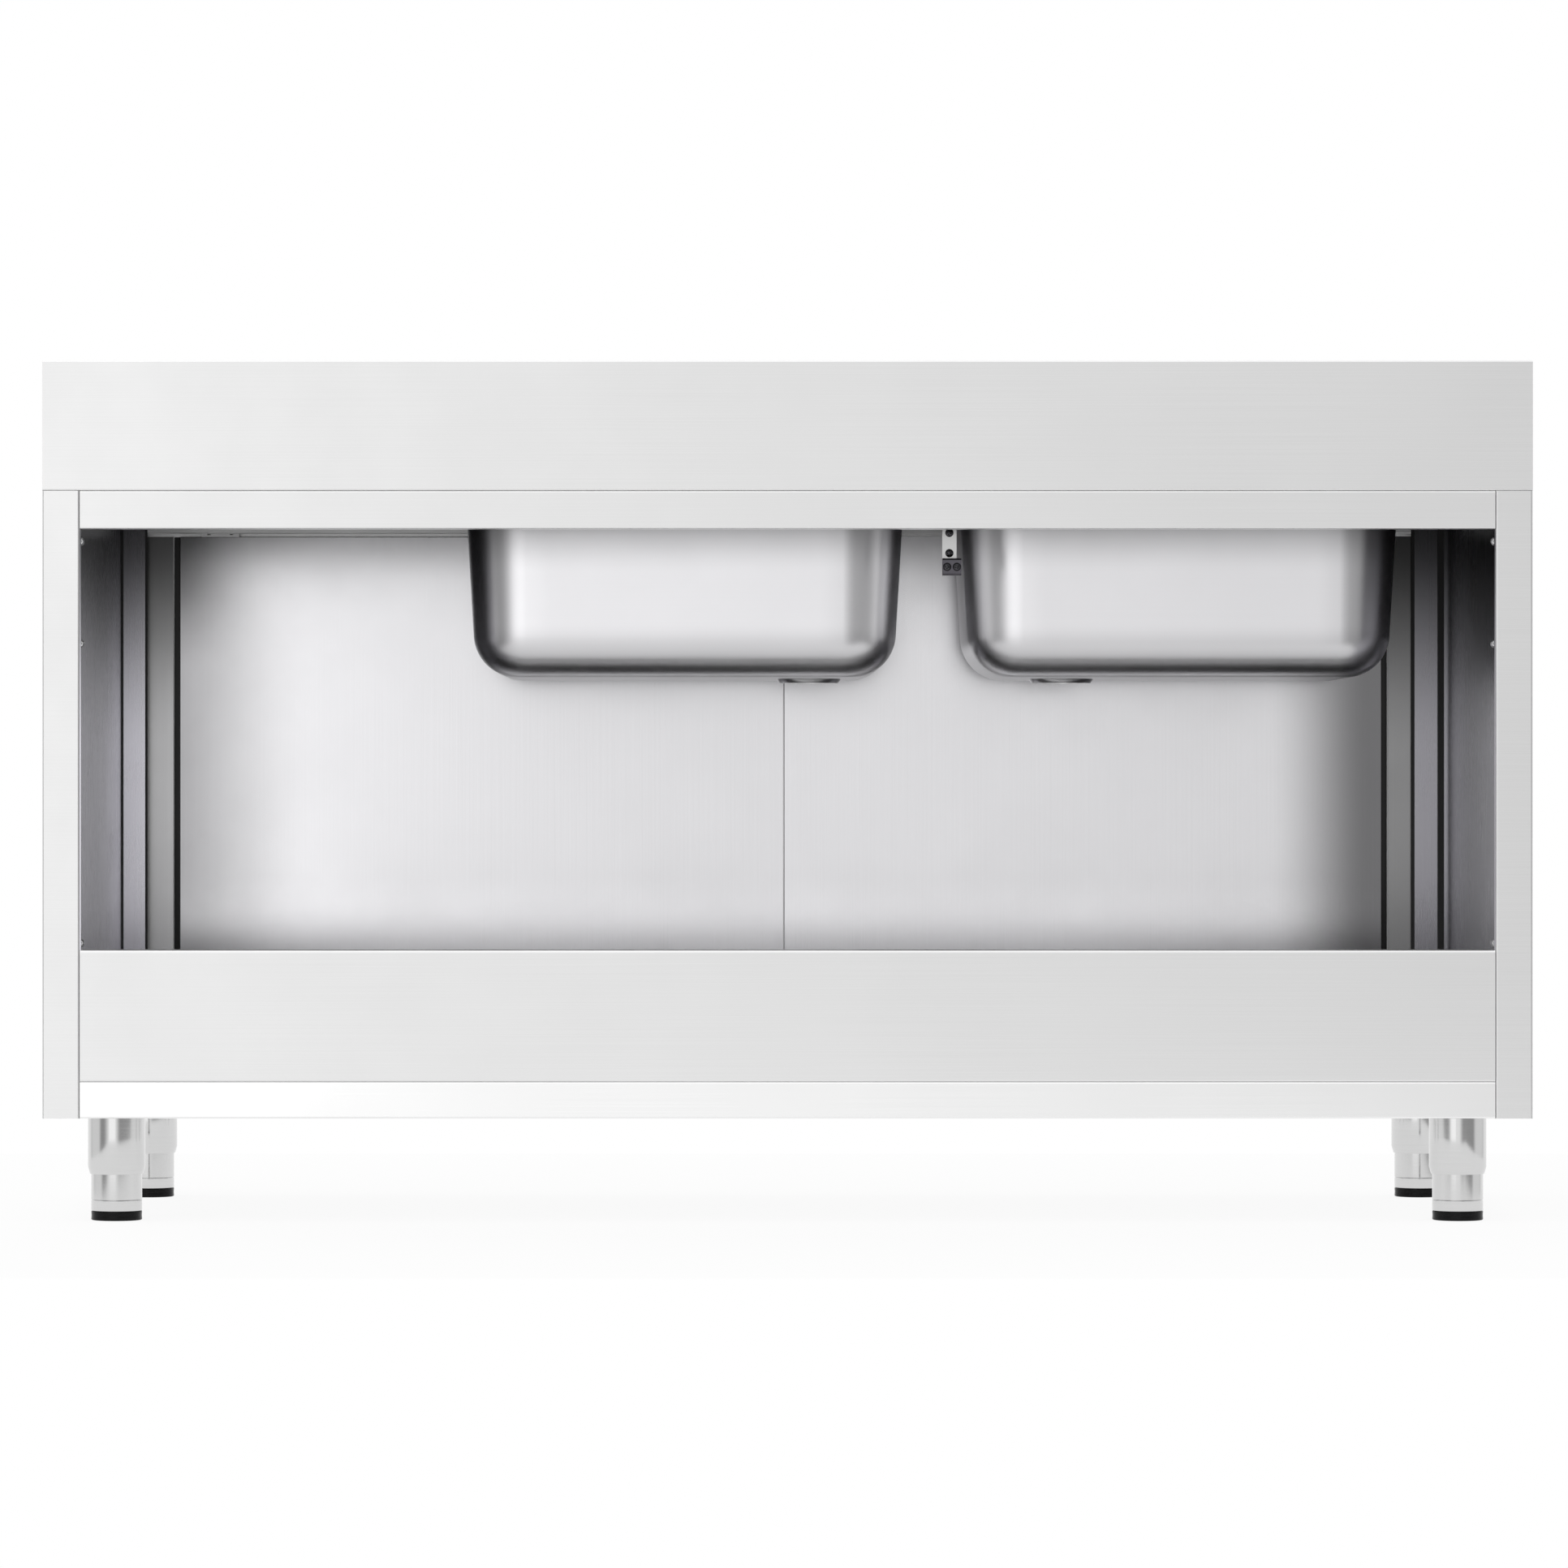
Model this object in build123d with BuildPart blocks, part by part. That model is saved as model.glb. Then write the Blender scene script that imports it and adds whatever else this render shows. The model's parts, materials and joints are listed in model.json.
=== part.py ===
from build123d import *
import os

# A stainless steel sink unit: a worktop with an upstand, a drainer and two
# pressed bowls, on a double-skinned cupboard with an open back, two sliding
# front doors and four adjustable feet.
# All sizes are in millimetres. X runs along the front, with the drainer at +X,
# the doors face -Y, the open back faces +Y, and Z=0 is the floor under the
# unit's middle with its feet wound right in. Left and right are as seen from
# the front.

# ---- Overall sizes ----
unit_width = 1600.0
unit_depth = 600.0
rim_height = 826.0
upstand_rise = 100.0
upstand_thickness = 20.0
body_clearance = 112.0
worktop_thickness = 40.0
front_overhang = 20.0

# ---- Sheets and their bends ----
worktop_sheet = 1.2
bowl_sheet = 1.0
body_sheet = 1.0
door_sheet = 0.8
bracket_sheet = 2.0
bend_radius = 2.0
return_lip = 15.0
seat_gap = 0.3

# ---- Sunk deck and drainer ----
deck_sink = 6.0
front_rim = 22.0
side_rim = 14.0
deck_corner_radius = 12.0
deck_slope = 40.0
groove_count = 9
groove_pitch = 46.0
groove_width = 16.0
groove_depth = 2.6
groove_slope = 35.0
drainer_margin = 22.0
drainer_channel_count = 2

# ---- Bowls ----
bowl_length = 484.0
bowl_width = 400.0
bowl_depth = 232.0
bowl_draft = 3.3
bowl_corner_radius = 70.0
bowl_floor_radius = 48.0
bowl_flange = 8.0
bowl_mouth_radius = 5.0
bowl_side_margin = 128.5
bowl_spacing = 57.0
left_waste_offset = 123.0
right_waste_offset = -137.0
weld_gap = 0.1
sump_radius = 35.5
sump_depth = 4.5
sump_slope = 25.0
waste_radius = 26.0

# ---- Body ----
post_width = 40.0
rail_height = 41.0
shelf_thickness = 39.5
lower_panel_height = 142.0
lower_panel_bend = 4.0
lower_panel_return = 15.0
post_flange = 30.0
rail_return = 25.0
right_jamb_cover = 28.0
left_jamb_cover = 38.0
jamb_flange = 23.0
right_edge_seal = 2.6
left_edge_seal = 4.0
edge_seal_depth = 2.0
right_corner_seal = 2.0
left_corner_seal = 7.2
left_corner_step = 3.4
corner_seal_depth = 3.0
header_gap = 0.5
stiffener_width = 50.0
stiffener_height = 25.0
stiffener_brim = 12.0
shelf_channel_count = 2
brace_width = 28.0

# ---- Sliding door gear ----
lane_gap = 3.0
lane_clearance = 1.0
door_thickness = 16.0
door_front_gap = 3.0
door_top_gap = 4.0
right_door_end_gap = 2.0
left_door_end_gap = 11.5
door_open_cover = 60.0
meeting_line_x = 1.0
door_overlap = 14.0
handle_zone = 56.5
pull_edge = 14.0
pull_width = 36.0
pull_depth = 12.0
shadow_groove = 7.5
guide_spigot = 10.0
door_stiffener_count = 3
track_sheet = 1.5
track_depth = 26.0
track_lip_spare = 0.1
track_front_drop = 12.0
bottom_track_height = 9.5
roller_radius = 9.5
roller_width = 7.5
roller_lift = 0.3
roller_side_gap = 0.5
axle_radius = 2.5
axle_head_radius = 4.0
axle_head = 1.4
running_clearance = 0.05
hanger_inset = 110.0
hanger_length = 44.0
hanger_foot_width = 10.0
hanger_corner = 3.0
hanger_screw_spacing = 26.0
guide_length = 40.0
guide_side_gap = 0.5
guide_corner = 5.0
stop_length = 14.0
stop_height = 14.0

# ---- Legs ----
leg_side_inset = 75.0
leg_rear_inset = 60.0
leg_front_inset = 60.0
sleeve_radius = 31.0
sleeve_wall = 1.5
sleeve_shoulder = 57.0
sleeve_bottom = 50.0
leg_plate_width = 66.0
leg_plate_length = 96.0
leg_plate_thickness = 3.0
foot_radius = 27.5
foot_wall = 1.2
foot_floor = 4.0
foot_groove_level = 22.0
foot_groove = 0.7
pad_height = 10.0
pad_edge_radius = 1.5
pad_spigot_radius = 6.0
pad_spigot_height = 3.0
foot_slide_gap = 0.4
foot_travel = 35.0
foot_overlap = 11.0
spindle_radius = 8.0
nut_thickness = 12.0
nut_step = 4.0

# ---- Screws and small fittings ----
screw_head_radius = 4.5
screw_head_height = 3.0
screw_shank_radius = 2.0
screw_hole_clearance = 0.2
screw_grip = 6.0
small_head_radius = 2.6
small_head_height = 1.4
small_shank_radius = 1.5
track_screw_count = 6
screw_hole_radius = screw_shank_radius + screw_hole_clearance
small_hole_radius = small_shank_radius + screw_hole_clearance
liner_screw_rise = 6.5
liner_screw_drops = (123.0, 13.0)
liner_screw_inset = 15.0
earth_side_step = 16.0
earth_rear_step = 8.0
earth_block_step = 2.5
earth_screw_rises = (24.4, 46.3)
earth_wire_radius = 2.2
earth_clamp_pitch = 10.5
earth_plate_width = 15.5
earth_plate_drop = 97.8
earth_block_height = 18.5
earth_block_depth = 12.0
earth_block_width = 20.5

# ---- Levels and planes that follow from the sizes above ----
half_width = unit_width / 2
back = unit_depth / 2
worktop_front = -unit_depth / 2
body_front = worktop_front + front_overhang
underside = rim_height - worktop_thickness
deck_level = rim_height - deck_sink
deck_underside = deck_level - worktop_sheet
upstand_top = rim_height + upstand_rise
upstand_front = back - upstand_thickness
left_bowl_x = -half_width + bowl_side_margin + bowl_length / 2
right_bowl_x = left_bowl_x + bowl_length + bowl_spacing
bowl_hole_reach = bowl_width / 2 + bowl_flange
inner_half_width = half_width - post_width
shelf_level = body_clearance + shelf_thickness
liner_face = inner_half_width - body_sheet
opening_bottom = shelf_level + lower_panel_height
rail_bottom = underside - rail_height
liner_screw_levels = [opening_bottom + liner_screw_rise] + [rail_bottom - drop for drop in liner_screw_drops]

lane_pitch = door_thickness + lane_gap
front_lane = body_front + door_front_gap + door_thickness / 2
rear_lane = front_lane + lane_pitch
track_top = underside - body_sheet
track_lip_level = track_top - track_depth
door_top = track_lip_level - door_top_gap
door_bottom = shelf_level + bottom_track_height + lane_clearance
door_travel = inner_half_width - door_open_cover
jamb_plane = rear_lane + lane_pitch / 2 + lane_clearance + body_sheet
front_post_depth = jamb_plane - body_front - body_sheet
header_rear = jamb_plane - body_sheet - header_gap

rear_channel_y = (upstand_front + bowl_hole_reach) / 2
stiffener_bottom = deck_underside - stiffener_height
earth_x = (left_bowl_x + right_bowl_x) / 2 - earth_side_step
earth_block_x = earth_x - earth_block_step
earth_y = rear_channel_y + earth_rear_step
earth_plate_bottom = stiffener_bottom - earth_plate_drop
earth_screw_levels = [earth_plate_bottom + rise for rise in earth_screw_rises]

leg_x = half_width - leg_side_inset
rear_leg_y = back - leg_rear_inset
front_leg_y = body_front + leg_front_inset
leg_plate_bottom = shelf_level - body_sheet - leg_plate_thickness
foot_bottom = pad_height + seat_gap
foot_top = sleeve_bottom + foot_overlap + foot_travel
nut_bottom = foot_top + body_sheet
spindle_top = leg_plate_bottom - body_sheet


# ---- Shared operations ----
def rectangle_between(low, high, mode=Mode.ADD):
    """A rectangle in the current sketch, from its low corner to its high one."""
    with Locations(((low[0] + high[0]) / 2, (low[1] + high[1]) / 2)):
        Rectangle(high[0] - low[0], high[1] - low[1], mode=mode)


def folded_sheet(plane, outline, thickness, length, bend=bend_radius):
    """A sheet folded along its outer line, with the metal on the line's left."""
    with BuildPart() as sheet:
        with BuildSketch(plane):
            with BuildLine():
                FilletPolyline(*outline, radius=bend)
                offset(amount=thickness, side=Side.LEFT)
            make_face()
        extrude(amount=length)
    return sheet.part


def hat_channel(plane, length, width, height, brim, thickness):
    """A hat-shaped stiffener whose brims lie on the plane and whose crown stands off it."""
    with BuildPart() as channel:
        with BuildSketch(plane):
            rectangle_between((-width / 2, 0), (-width / 2 + brim, thickness))
            rectangle_between((width / 2 - brim, 0), (width / 2, thickness))
            rectangle_between((-width / 2 + brim - thickness, 0), (width / 2 - brim + thickness, height))
            rectangle_between(
                (-width / 2 + brim, -thickness),
                (width / 2 - brim, height - thickness),
                mode=Mode.SUBTRACT,
            )
        extrude(amount=length / 2, both=True)
    return channel.part


def dome_screw(plane, head_radius, head_height, shank_radius, grip):
    """A dome-headed screw whose head stands on the plane and whose shank runs behind it."""
    section = Plane(origin=plane.origin, x_dir=plane.x_dir, z_dir=-plane.y_dir)
    dome_radius = (head_radius**2 + head_height**2) / (2 * head_height)
    crown = (0, head_height)
    rim = (head_radius, 0)
    with BuildPart() as screw:
        with BuildSketch(section):
            with BuildLine():
                Polyline(crown, (0, -grip), (shank_radius, -grip), (shank_radius, 0), rim)
                RadiusArc(rim, crown, -dome_radius)
            make_face()
        revolve(axis=Axis(plane.origin, plane.z_dir))
    return screw.part


def holes(planes, radius, depth):
    """Round holes to be cut away, each from its plane to a depth behind it."""
    with BuildPart() as bores:
        for plane in planes:
            with BuildSketch(plane):
                Circle(radius)
            extrude(amount=-depth)
    return bores.part


def toward(side, outline):
    """An outline drawn for the right side, or its mirror image, run the same way round."""
    if side > 0:
        return outline
    return [(-x, y) for x, y in reversed(outline)]


def grouped(solids):
    """Several separate solids held as one piece."""
    return Compound(children=list(solids))


# ---- Worktop ----
def worktop_form(inset):
    """The worktop's outside, or the hollow under its sheet when inset by the sheet."""
    tray_low = (-half_width + side_rim - inset, worktop_front + front_rim - inset)
    tray_high = (half_width - side_rim + inset, upstand_front + inset)
    groove_left = right_bowl_x + bowl_length / 2 + bowl_flange + drainer_margin
    groove_right = half_width - side_rim - deck_sink - drainer_margin
    rear_corner = (half_width - inset, back - inset)
    with BuildPart() as form:
        with BuildSketch(Plane.XY.offset(underside + inset)):
            rectangle_between((-half_width + inset, worktop_front + inset), rear_corner)
        extrude(amount=worktop_thickness - 2 * inset)
        with BuildSketch(Plane.XY.offset(underside + inset)):
            rectangle_between((-half_width + inset, upstand_front + inset), rear_corner)
        extrude(amount=upstand_top - underside - 2 * inset)
        with BuildSketch(Plane.XY.offset(rim_height - inset)):
            with Locations(((tray_low[0] + tray_high[0]) / 2, (tray_low[1] + tray_high[1]) / 2)):
                RectangleRounded(
                    tray_high[0] - tray_low[0], tray_high[1] - tray_low[1], deck_corner_radius + inset
                )
        extrude(amount=-deck_sink, taper=deck_slope, mode=Mode.SUBTRACT)
        with BuildSketch(Plane.XY.offset(deck_level - inset)):
            with Locations(((groove_left + groove_right) / 2, 0)):
                with GridLocations(0, groove_pitch, 1, groove_count):
                    SlotOverall(groove_right - groove_left + 2 * inset, groove_width + 2 * inset)
        extrude(amount=-groove_depth, taper=groove_slope, mode=Mode.SUBTRACT)
    return form.part


def make_worktop():
    """The folded worktop sheet: sunk deck, drainer, front and side edges, and upstand."""
    lip = return_lip
    with BuildPart() as worktop:
        add(worktop_form(0))
        outer_edges = worktop.edges().filter_by(Axis.X).filter_by(
            lambda edge: edge.length > unit_width - 1
        )
        fillet(outer_edges.sort_by(Axis.Z)[-2:] + outer_edges.group_by(Axis.Z)[0], bend_radius)
        add(worktop_form(worktop_sheet), mode=Mode.SUBTRACT)
        with BuildSketch(Plane.XY.offset(underside)):
            rectangle_between((-half_width + lip, body_front + lip), (half_width - lip, back - lip))
        extrude(amount=worktop_sheet, mode=Mode.SUBTRACT)
        with BuildSketch(Plane.XY.offset(rim_height)):
            with Locations((left_bowl_x, 0), (right_bowl_x, 0)):
                RectangleRounded(
                    bowl_length + 2 * (bowl_flange + weld_gap),
                    bowl_width + 2 * (bowl_flange + weld_gap),
                    bowl_corner_radius + bowl_flange + weld_gap,
                )
        extrude(amount=-worktop_thickness + worktop_sheet, mode=Mode.SUBTRACT)
    return worktop.part


def bowl_form(centre_x, waste_x, inset):
    """A bowl's outside, or the space inside it when inset by its sheet."""
    flange_level = deck_level - bowl_sheet + inset
    with BuildPart() as form:
        with BuildSketch(Plane.XY.offset(flange_level)):
            with Locations((centre_x, 0)):
                RectangleRounded(
                    bowl_length - 2 * inset, bowl_width - 2 * inset, bowl_corner_radius - inset
                )
        extrude(amount=-(bowl_depth - bowl_sheet), taper=bowl_draft)
        fillet(form.faces().sort_by(Axis.Z)[0].edges(), bowl_floor_radius - inset)
        floor_level = flange_level - bowl_depth + bowl_sheet
        with BuildSketch(Plane.XY.offset(floor_level)):
            with Locations((waste_x, 0)):
                Circle(sump_radius - inset)
        extrude(amount=-sump_depth, taper=sump_slope)
        with BuildSketch(Plane.XY.offset(flange_level)):
            with Locations((centre_x, 0)):
                RectangleRounded(
                    bowl_length + 2 * bowl_flange,
                    bowl_width + 2 * bowl_flange,
                    bowl_corner_radius + bowl_flange,
                )
        extrude(amount=bowl_sheet)
        flange_under = form.faces().filter_by(lambda face: len(face.inner_wires()) > 0).sort_by(Axis.Z)[-1]
        mouth = flange_under.inner_wires()[0].edges()
        fillet(mouth, bowl_mouth_radius - inset)
    return form.part


def make_bowl(centre_x, waste_offset):
    """A pressed bowl with a flush flange, rounded mouth and floor, sump and waste hole."""
    waste_x = centre_x + waste_offset
    with BuildPart() as bowl:
        add(bowl_form(centre_x, waste_x, 0))
        add(bowl_form(centre_x, waste_x, bowl_sheet), mode=Mode.SUBTRACT)
        with BuildSketch(Plane.XY.offset(deck_level - bowl_depth)):
            with Locations((waste_x, 0)):
                Circle(waste_radius)
        extrude(amount=sump_depth + bowl_floor_radius, both=True, mode=Mode.SUBTRACT)
    return bowl.part


def make_worktop_stiffeners():
    """Hat channels under the deck: one before the bowls, one behind them, two under the drainer."""
    front_y = (worktop_front - bowl_hole_reach) / 2 + worktop_sheet
    length = 2 * (half_width - 2 * return_lip)
    depth = 2 * bowl_hole_reach
    channels = []
    for y in (front_y, rear_channel_y):
        plane = Plane(origin=(0, y, deck_underside), x_dir=(0, -1, 0), z_dir=(1, 0, 0))
        channels.append(
            hat_channel(plane, length, stiffener_width, stiffener_height, stiffener_brim, body_sheet)
        )
    hole_right = right_bowl_x + bowl_length / 2 + bowl_flange
    spacing = (half_width - hole_right) / (drainer_channel_count + 1)
    for index in range(drainer_channel_count):
        origin = (hole_right + (index + 1) * spacing, 0, deck_underside - groove_depth)
        plane = Plane(origin=origin, x_dir=(1, 0, 0), z_dir=(0, 1, 0))
        channels.append(
            hat_channel(plane, depth, stiffener_width, stiffener_height, stiffener_brim, body_sheet)
        )
    return grouped(channels)


def make_bowl_brace():
    """A channel from front to back under the deck, in the strip between the bowls."""
    middle = (left_bowl_x + right_bowl_x) / 2
    plane = Plane(origin=(middle, 0, deck_underside), x_dir=(1, 0, 0), z_dir=(0, 1, 0))
    crown = brace_width / 2 - body_sheet
    with BuildPart() as brace:
        with BuildSketch(plane):
            rectangle_between((-brace_width / 2, 0), (brace_width / 2, stiffener_height))
            rectangle_between(
                (-crown, -body_sheet), (crown, stiffener_height - body_sheet), mode=Mode.SUBTRACT
            )
        extrude(amount=bowl_width / 2, both=True)
    return brace.part


# ---- Body ----
def make_side_panel(side):
    """A side's outer sheet, folded round both posts and open where its liner closes it."""
    low_x, high_x = sorted((side * half_width, side * inner_half_width))
    height = underside - body_clearance
    with BuildPart() as panel:
        with BuildSketch(Plane.XY.offset(body_clearance)):
            rectangle_between((low_x, body_front), (high_x, back))
        extrude(amount=height)
        fillet(panel.edges().filter_by(Axis.Z), bend_radius)
        with BuildSketch(Plane.XY.offset(body_clearance + body_sheet)):
            rectangle_between(
                (low_x + body_sheet, body_front + body_sheet), (high_x - body_sheet, back - body_sheet)
            )
        extrude(amount=height - 2 * body_sheet, mode=Mode.SUBTRACT)
        with BuildSketch(Plane.YZ.offset(side * inner_half_width)):
            rectangle_between(
                (body_front + front_post_depth, shelf_level), (back - post_flange, underside - body_sheet)
            )
        extrude(amount=side * 2 * body_sheet, mode=Mode.SUBTRACT)
        add(holes(liner_screw_planes(side), screw_hole_radius, screw_grip), mode=Mode.SUBTRACT)
    return panel.part


def liner_screw_planes(side):
    """Where the liner's screws stand, facing into the cupboard."""
    x = side * liner_face
    y = back - liner_screw_inset
    return [
        Plane(origin=(x, y, z), x_dir=(0, side, 0), z_dir=(-side, 0, 0)) for z in liner_screw_levels
    ]


def make_side_liner(side):
    """A side's flat inner sheet, from the front jamb to the rear post."""
    low_x, high_x = sorted((side * liner_face, side * inner_half_width))
    with BuildPart() as liner:
        with BuildSketch(Plane.XY.offset(shelf_level)):
            rectangle_between((low_x, jamb_plane + bend_radius), (high_x, back - bend_radius - body_sheet))
        extrude(amount=underside - body_sheet - shelf_level)
        add(holes(liner_screw_planes(side), screw_hole_radius, screw_grip), mode=Mode.SUBTRACT)
    return liner.part


def make_liner_screws():
    """The dome screws that hold both liners to the rear posts."""
    planes = liner_screw_planes(1) + liner_screw_planes(-1)
    return grouped(
        dome_screw(plane, screw_head_radius, screw_head_height, screw_shank_radius, screw_grip)
        for plane in planes
    )


def jamb_edge(side):
    """Where a jamb's edge lies, measured towards its side."""
    return inner_half_width - (right_jamb_cover if side > 0 else left_jamb_cover)


def make_jamb(side):
    """The folded lip that covers a closed door's edge from inside the cupboard."""
    corner = inner_half_width + body_sheet
    jamb_front = jamb_plane - body_sheet
    outline = [
        (jamb_edge(side), jamb_front),
        (corner, jamb_front),
        (corner, jamb_front + jamb_flange),
    ]
    height = underside - body_sheet - shelf_level
    return folded_sheet(Plane.XY.offset(shelf_level), toward(side, outline), body_sheet, height)


def make_jamb_seals():
    """The dark soft strips on both jambs: one on the edge over the door, one beside the liner."""
    height = underside - body_sheet - shelf_level
    jamb_front = jamb_plane - body_sheet
    seals = []
    for side, edge_seal, corner_seal, corner_step in (
        (1, right_edge_seal, right_corner_seal, 0),
        (-1, left_edge_seal, left_corner_seal, left_corner_step),
    ):
        edge = jamb_edge(side)
        corner = liner_face - corner_step
        for inner, outer, front, depth in (
            (edge - edge_seal, edge, jamb_front, edge_seal_depth),
            (corner - corner_seal, corner, jamb_plane, corner_seal_depth),
        ):
            low_x, high_x = sorted((side * inner, side * outer))
            with BuildPart() as seal:
                with BuildSketch(Plane.XY.offset(shelf_level)):
                    rectangle_between((low_x, front), (high_x, front + depth))
                extrude(amount=height)
            seals.append(seal.part)
    return grouped(seals)


def make_rear_top_rail():
    """The channel under the upstand, flush between the rear posts."""
    outline = [
        (back - rail_return, rail_bottom),
        (back, rail_bottom),
        (back, underside),
        (back - rail_return, underside),
    ]
    return relieved_for_liners(flush_sheet(outline, bend_radius))


def make_lower_rear_panel():
    """The low rear panel on the shelf, with a rounded top fold."""
    outline = [
        (back - return_lip, shelf_level),
        (back, shelf_level),
        (back, opening_bottom),
        (back - lower_panel_return, opening_bottom),
        (back - lower_panel_return, opening_bottom - lower_panel_return / 2),
    ]
    return relieved_for_liners(flush_sheet(outline, (bend_radius, lower_panel_bend, bend_radius)))


def flush_sheet(outline, bend):
    """A folded sheet that runs from post to post."""
    reach = inner_half_width - seat_gap
    return folded_sheet(Plane.YZ.offset(-reach), outline, body_sheet, 2 * reach, bend)


def relieved_for_liners(sheet):
    """A rear sheet whose returns stop short of the side liners."""
    reach = liner_face - seat_gap
    with BuildPart() as relieved:
        add(sheet)
        for side in (1, -1):
            low_x, high_x = sorted((side * reach, side * half_width))
            with BuildSketch(Plane.XY.offset(body_clearance)):
                rectangle_between((low_x, body_front), (high_x, back - bend_radius))
            extrude(amount=underside, mode=Mode.SUBTRACT)
    return relieved.part


def make_front_header():
    """The front fascia over the doors, with the shelf that the top track hangs from."""
    outline = [
        (header_rear, underside),
        (body_front, underside),
        (body_front, rail_bottom),
    ]
    with BuildPart() as header:
        add(flush_sheet(outline, bend_radius))
        add(holes(track_screw_planes(), small_hole_radius, screw_grip), mode=Mode.SUBTRACT)
    return header.part


def make_bottom_shelf():
    """The cupboard's floor, folded down on all sides, with returned lips at front and rear."""
    reach = inner_half_width - seat_gap
    with BuildPart() as shelf:
        with BuildSketch(Plane.XY.offset(body_clearance)):
            rectangle_between((-reach, body_front), (reach, back))
        extrude(amount=shelf_thickness)
        fillet(shelf.edges().filter_by(Axis.X), bend_radius)
        with BuildSketch(Plane.XY.offset(body_clearance + body_sheet)):
            rectangle_between(
                (-reach + body_sheet, body_front + body_sheet), (reach - body_sheet, back - body_sheet)
            )
        extrude(amount=shelf_thickness - 2 * body_sheet, mode=Mode.SUBTRACT)
        with BuildSketch(Plane.XY.offset(body_clearance)):
            rectangle_between(
                (-reach + body_sheet, body_front + return_lip), (reach - body_sheet, back - return_lip)
            )
        extrude(amount=body_sheet, mode=Mode.SUBTRACT)
    return shelf.part


def make_shelf_stiffeners():
    """Two hat channels under the shelf, between the legs."""
    length = 2 * (inner_half_width - return_lip)
    spacing = (rear_leg_y - front_leg_y) / (shelf_channel_count + 1)
    level = shelf_level - body_sheet
    channels = []
    for index in range(shelf_channel_count):
        y = front_leg_y + (index + 1) * spacing
        plane = Plane(origin=(0, y, level), x_dir=(0, -1, 0), z_dir=(1, 0, 0))
        channels.append(
            hat_channel(plane, length, stiffener_width, stiffener_height, stiffener_brim, body_sheet)
        )
    return grouped(channels)


# ---- Earth bonding point ----
def earth_screw_planes():
    """Two screws in the plate, above the block, and two smaller ones in the block."""
    plate_back = earth_y + bracket_sheet
    block_back = plate_back + earth_block_depth
    earth_clamp_level = earth_plate_bottom + earth_block_height / 2
    upper = [
        Plane(origin=(earth_x, plate_back, level), x_dir=(1, 0, 0), z_dir=(0, 1, 0))
        for level in earth_screw_levels
    ]
    lower = [
        Plane(
            origin=(earth_block_x + shift, block_back, earth_clamp_level),
            x_dir=(1, 0, 0),
            z_dir=(0, 1, 0),
        )
        for shift in (-earth_clamp_pitch / 2, earth_clamp_pitch / 2)
    ]
    return upper, lower


def make_earth_bracket():
    """A strip that hangs from the rear stiffener and carries the earth terminal."""
    low_x = earth_x - earth_plate_width / 2
    outline = [
        (earth_y + bracket_sheet, earth_plate_bottom),
        (earth_y + bracket_sheet, stiffener_bottom),
        (earth_y + bracket_sheet - return_lip, stiffener_bottom),
    ]
    upper, _ = earth_screw_planes()
    bend = bracket_sheet + body_sheet
    with BuildPart() as bracket:
        add(folded_sheet(Plane.YZ.offset(low_x), outline, bracket_sheet, earth_plate_width, bend))
        add(holes(upper, small_hole_radius, screw_grip), mode=Mode.SUBTRACT)
    return bracket.part


def make_earth_terminal():
    """The clamp block on the bracket's foot, with a wire hole from below."""
    front = earth_y + bracket_sheet
    wire_entry = Plane(
        origin=(earth_block_x, front + earth_block_depth / 2, earth_plate_bottom), z_dir=(0, 0, -1)
    )
    _, lower = earth_screw_planes()
    with BuildPart() as terminal:
        with BuildSketch(Plane.XY.offset(earth_plate_bottom)):
            rectangle_between(
                (earth_block_x - earth_block_width / 2, front),
                (earth_block_x + earth_block_width / 2, front + earth_block_depth),
            )
        extrude(amount=earth_block_height)
        chamfer(terminal.edges().filter_by(Axis.X).group_by(Axis.Y)[-1], bend_radius)
        add(holes(lower, small_hole_radius, screw_grip), mode=Mode.SUBTRACT)
        add(holes([wire_entry], earth_wire_radius, earth_block_height / 2), mode=Mode.SUBTRACT)
    return terminal.part


def make_earth_screws():
    """The plate's dome screws and the terminal's clamp screws."""
    upper, lower = earth_screw_planes()
    grip = screw_grip - body_sheet
    return grouped(
        dome_screw(plane, screw_head_radius, screw_head_height, small_shank_radius, grip)
        for plane in upper + lower
    )


# ---- Tracks ----
def lane_flange(lane):
    """The Y middle of the flange behind a lane."""
    return lane + lane_pitch / 2


def make_top_track():
    """A two-lane track whose lips carry the door rollers."""
    reach = inner_half_width - seat_gap
    web_bottom = track_top - track_sheet
    web_front = body_front + bend_radius
    web_rear = lane_flange(rear_lane) + track_sheet / 2
    lip_top = track_lip_level + track_sheet
    lip_reach = roller_side_gap + roller_width + track_lip_spare
    with BuildPart() as track:
        with BuildSketch(Plane.YZ.offset(-reach)):
            rectangle_between((web_front, web_bottom), (web_rear, track_top))
            rectangle_between(
                (web_front, track_top - track_front_drop), (web_front + track_sheet, track_top)
            )
            for lane in (front_lane, rear_lane):
                flange_front = lane_flange(lane) - track_sheet / 2
                rectangle_between((flange_front, track_lip_level), (flange_front + track_sheet, track_top))
                rectangle_between((flange_front - lip_reach, track_lip_level), (flange_front, lip_top))
        extrude(amount=2 * reach)
        add(holes(track_screw_planes(), small_hole_radius, screw_grip), mode=Mode.SUBTRACT)
    return track.part


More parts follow.
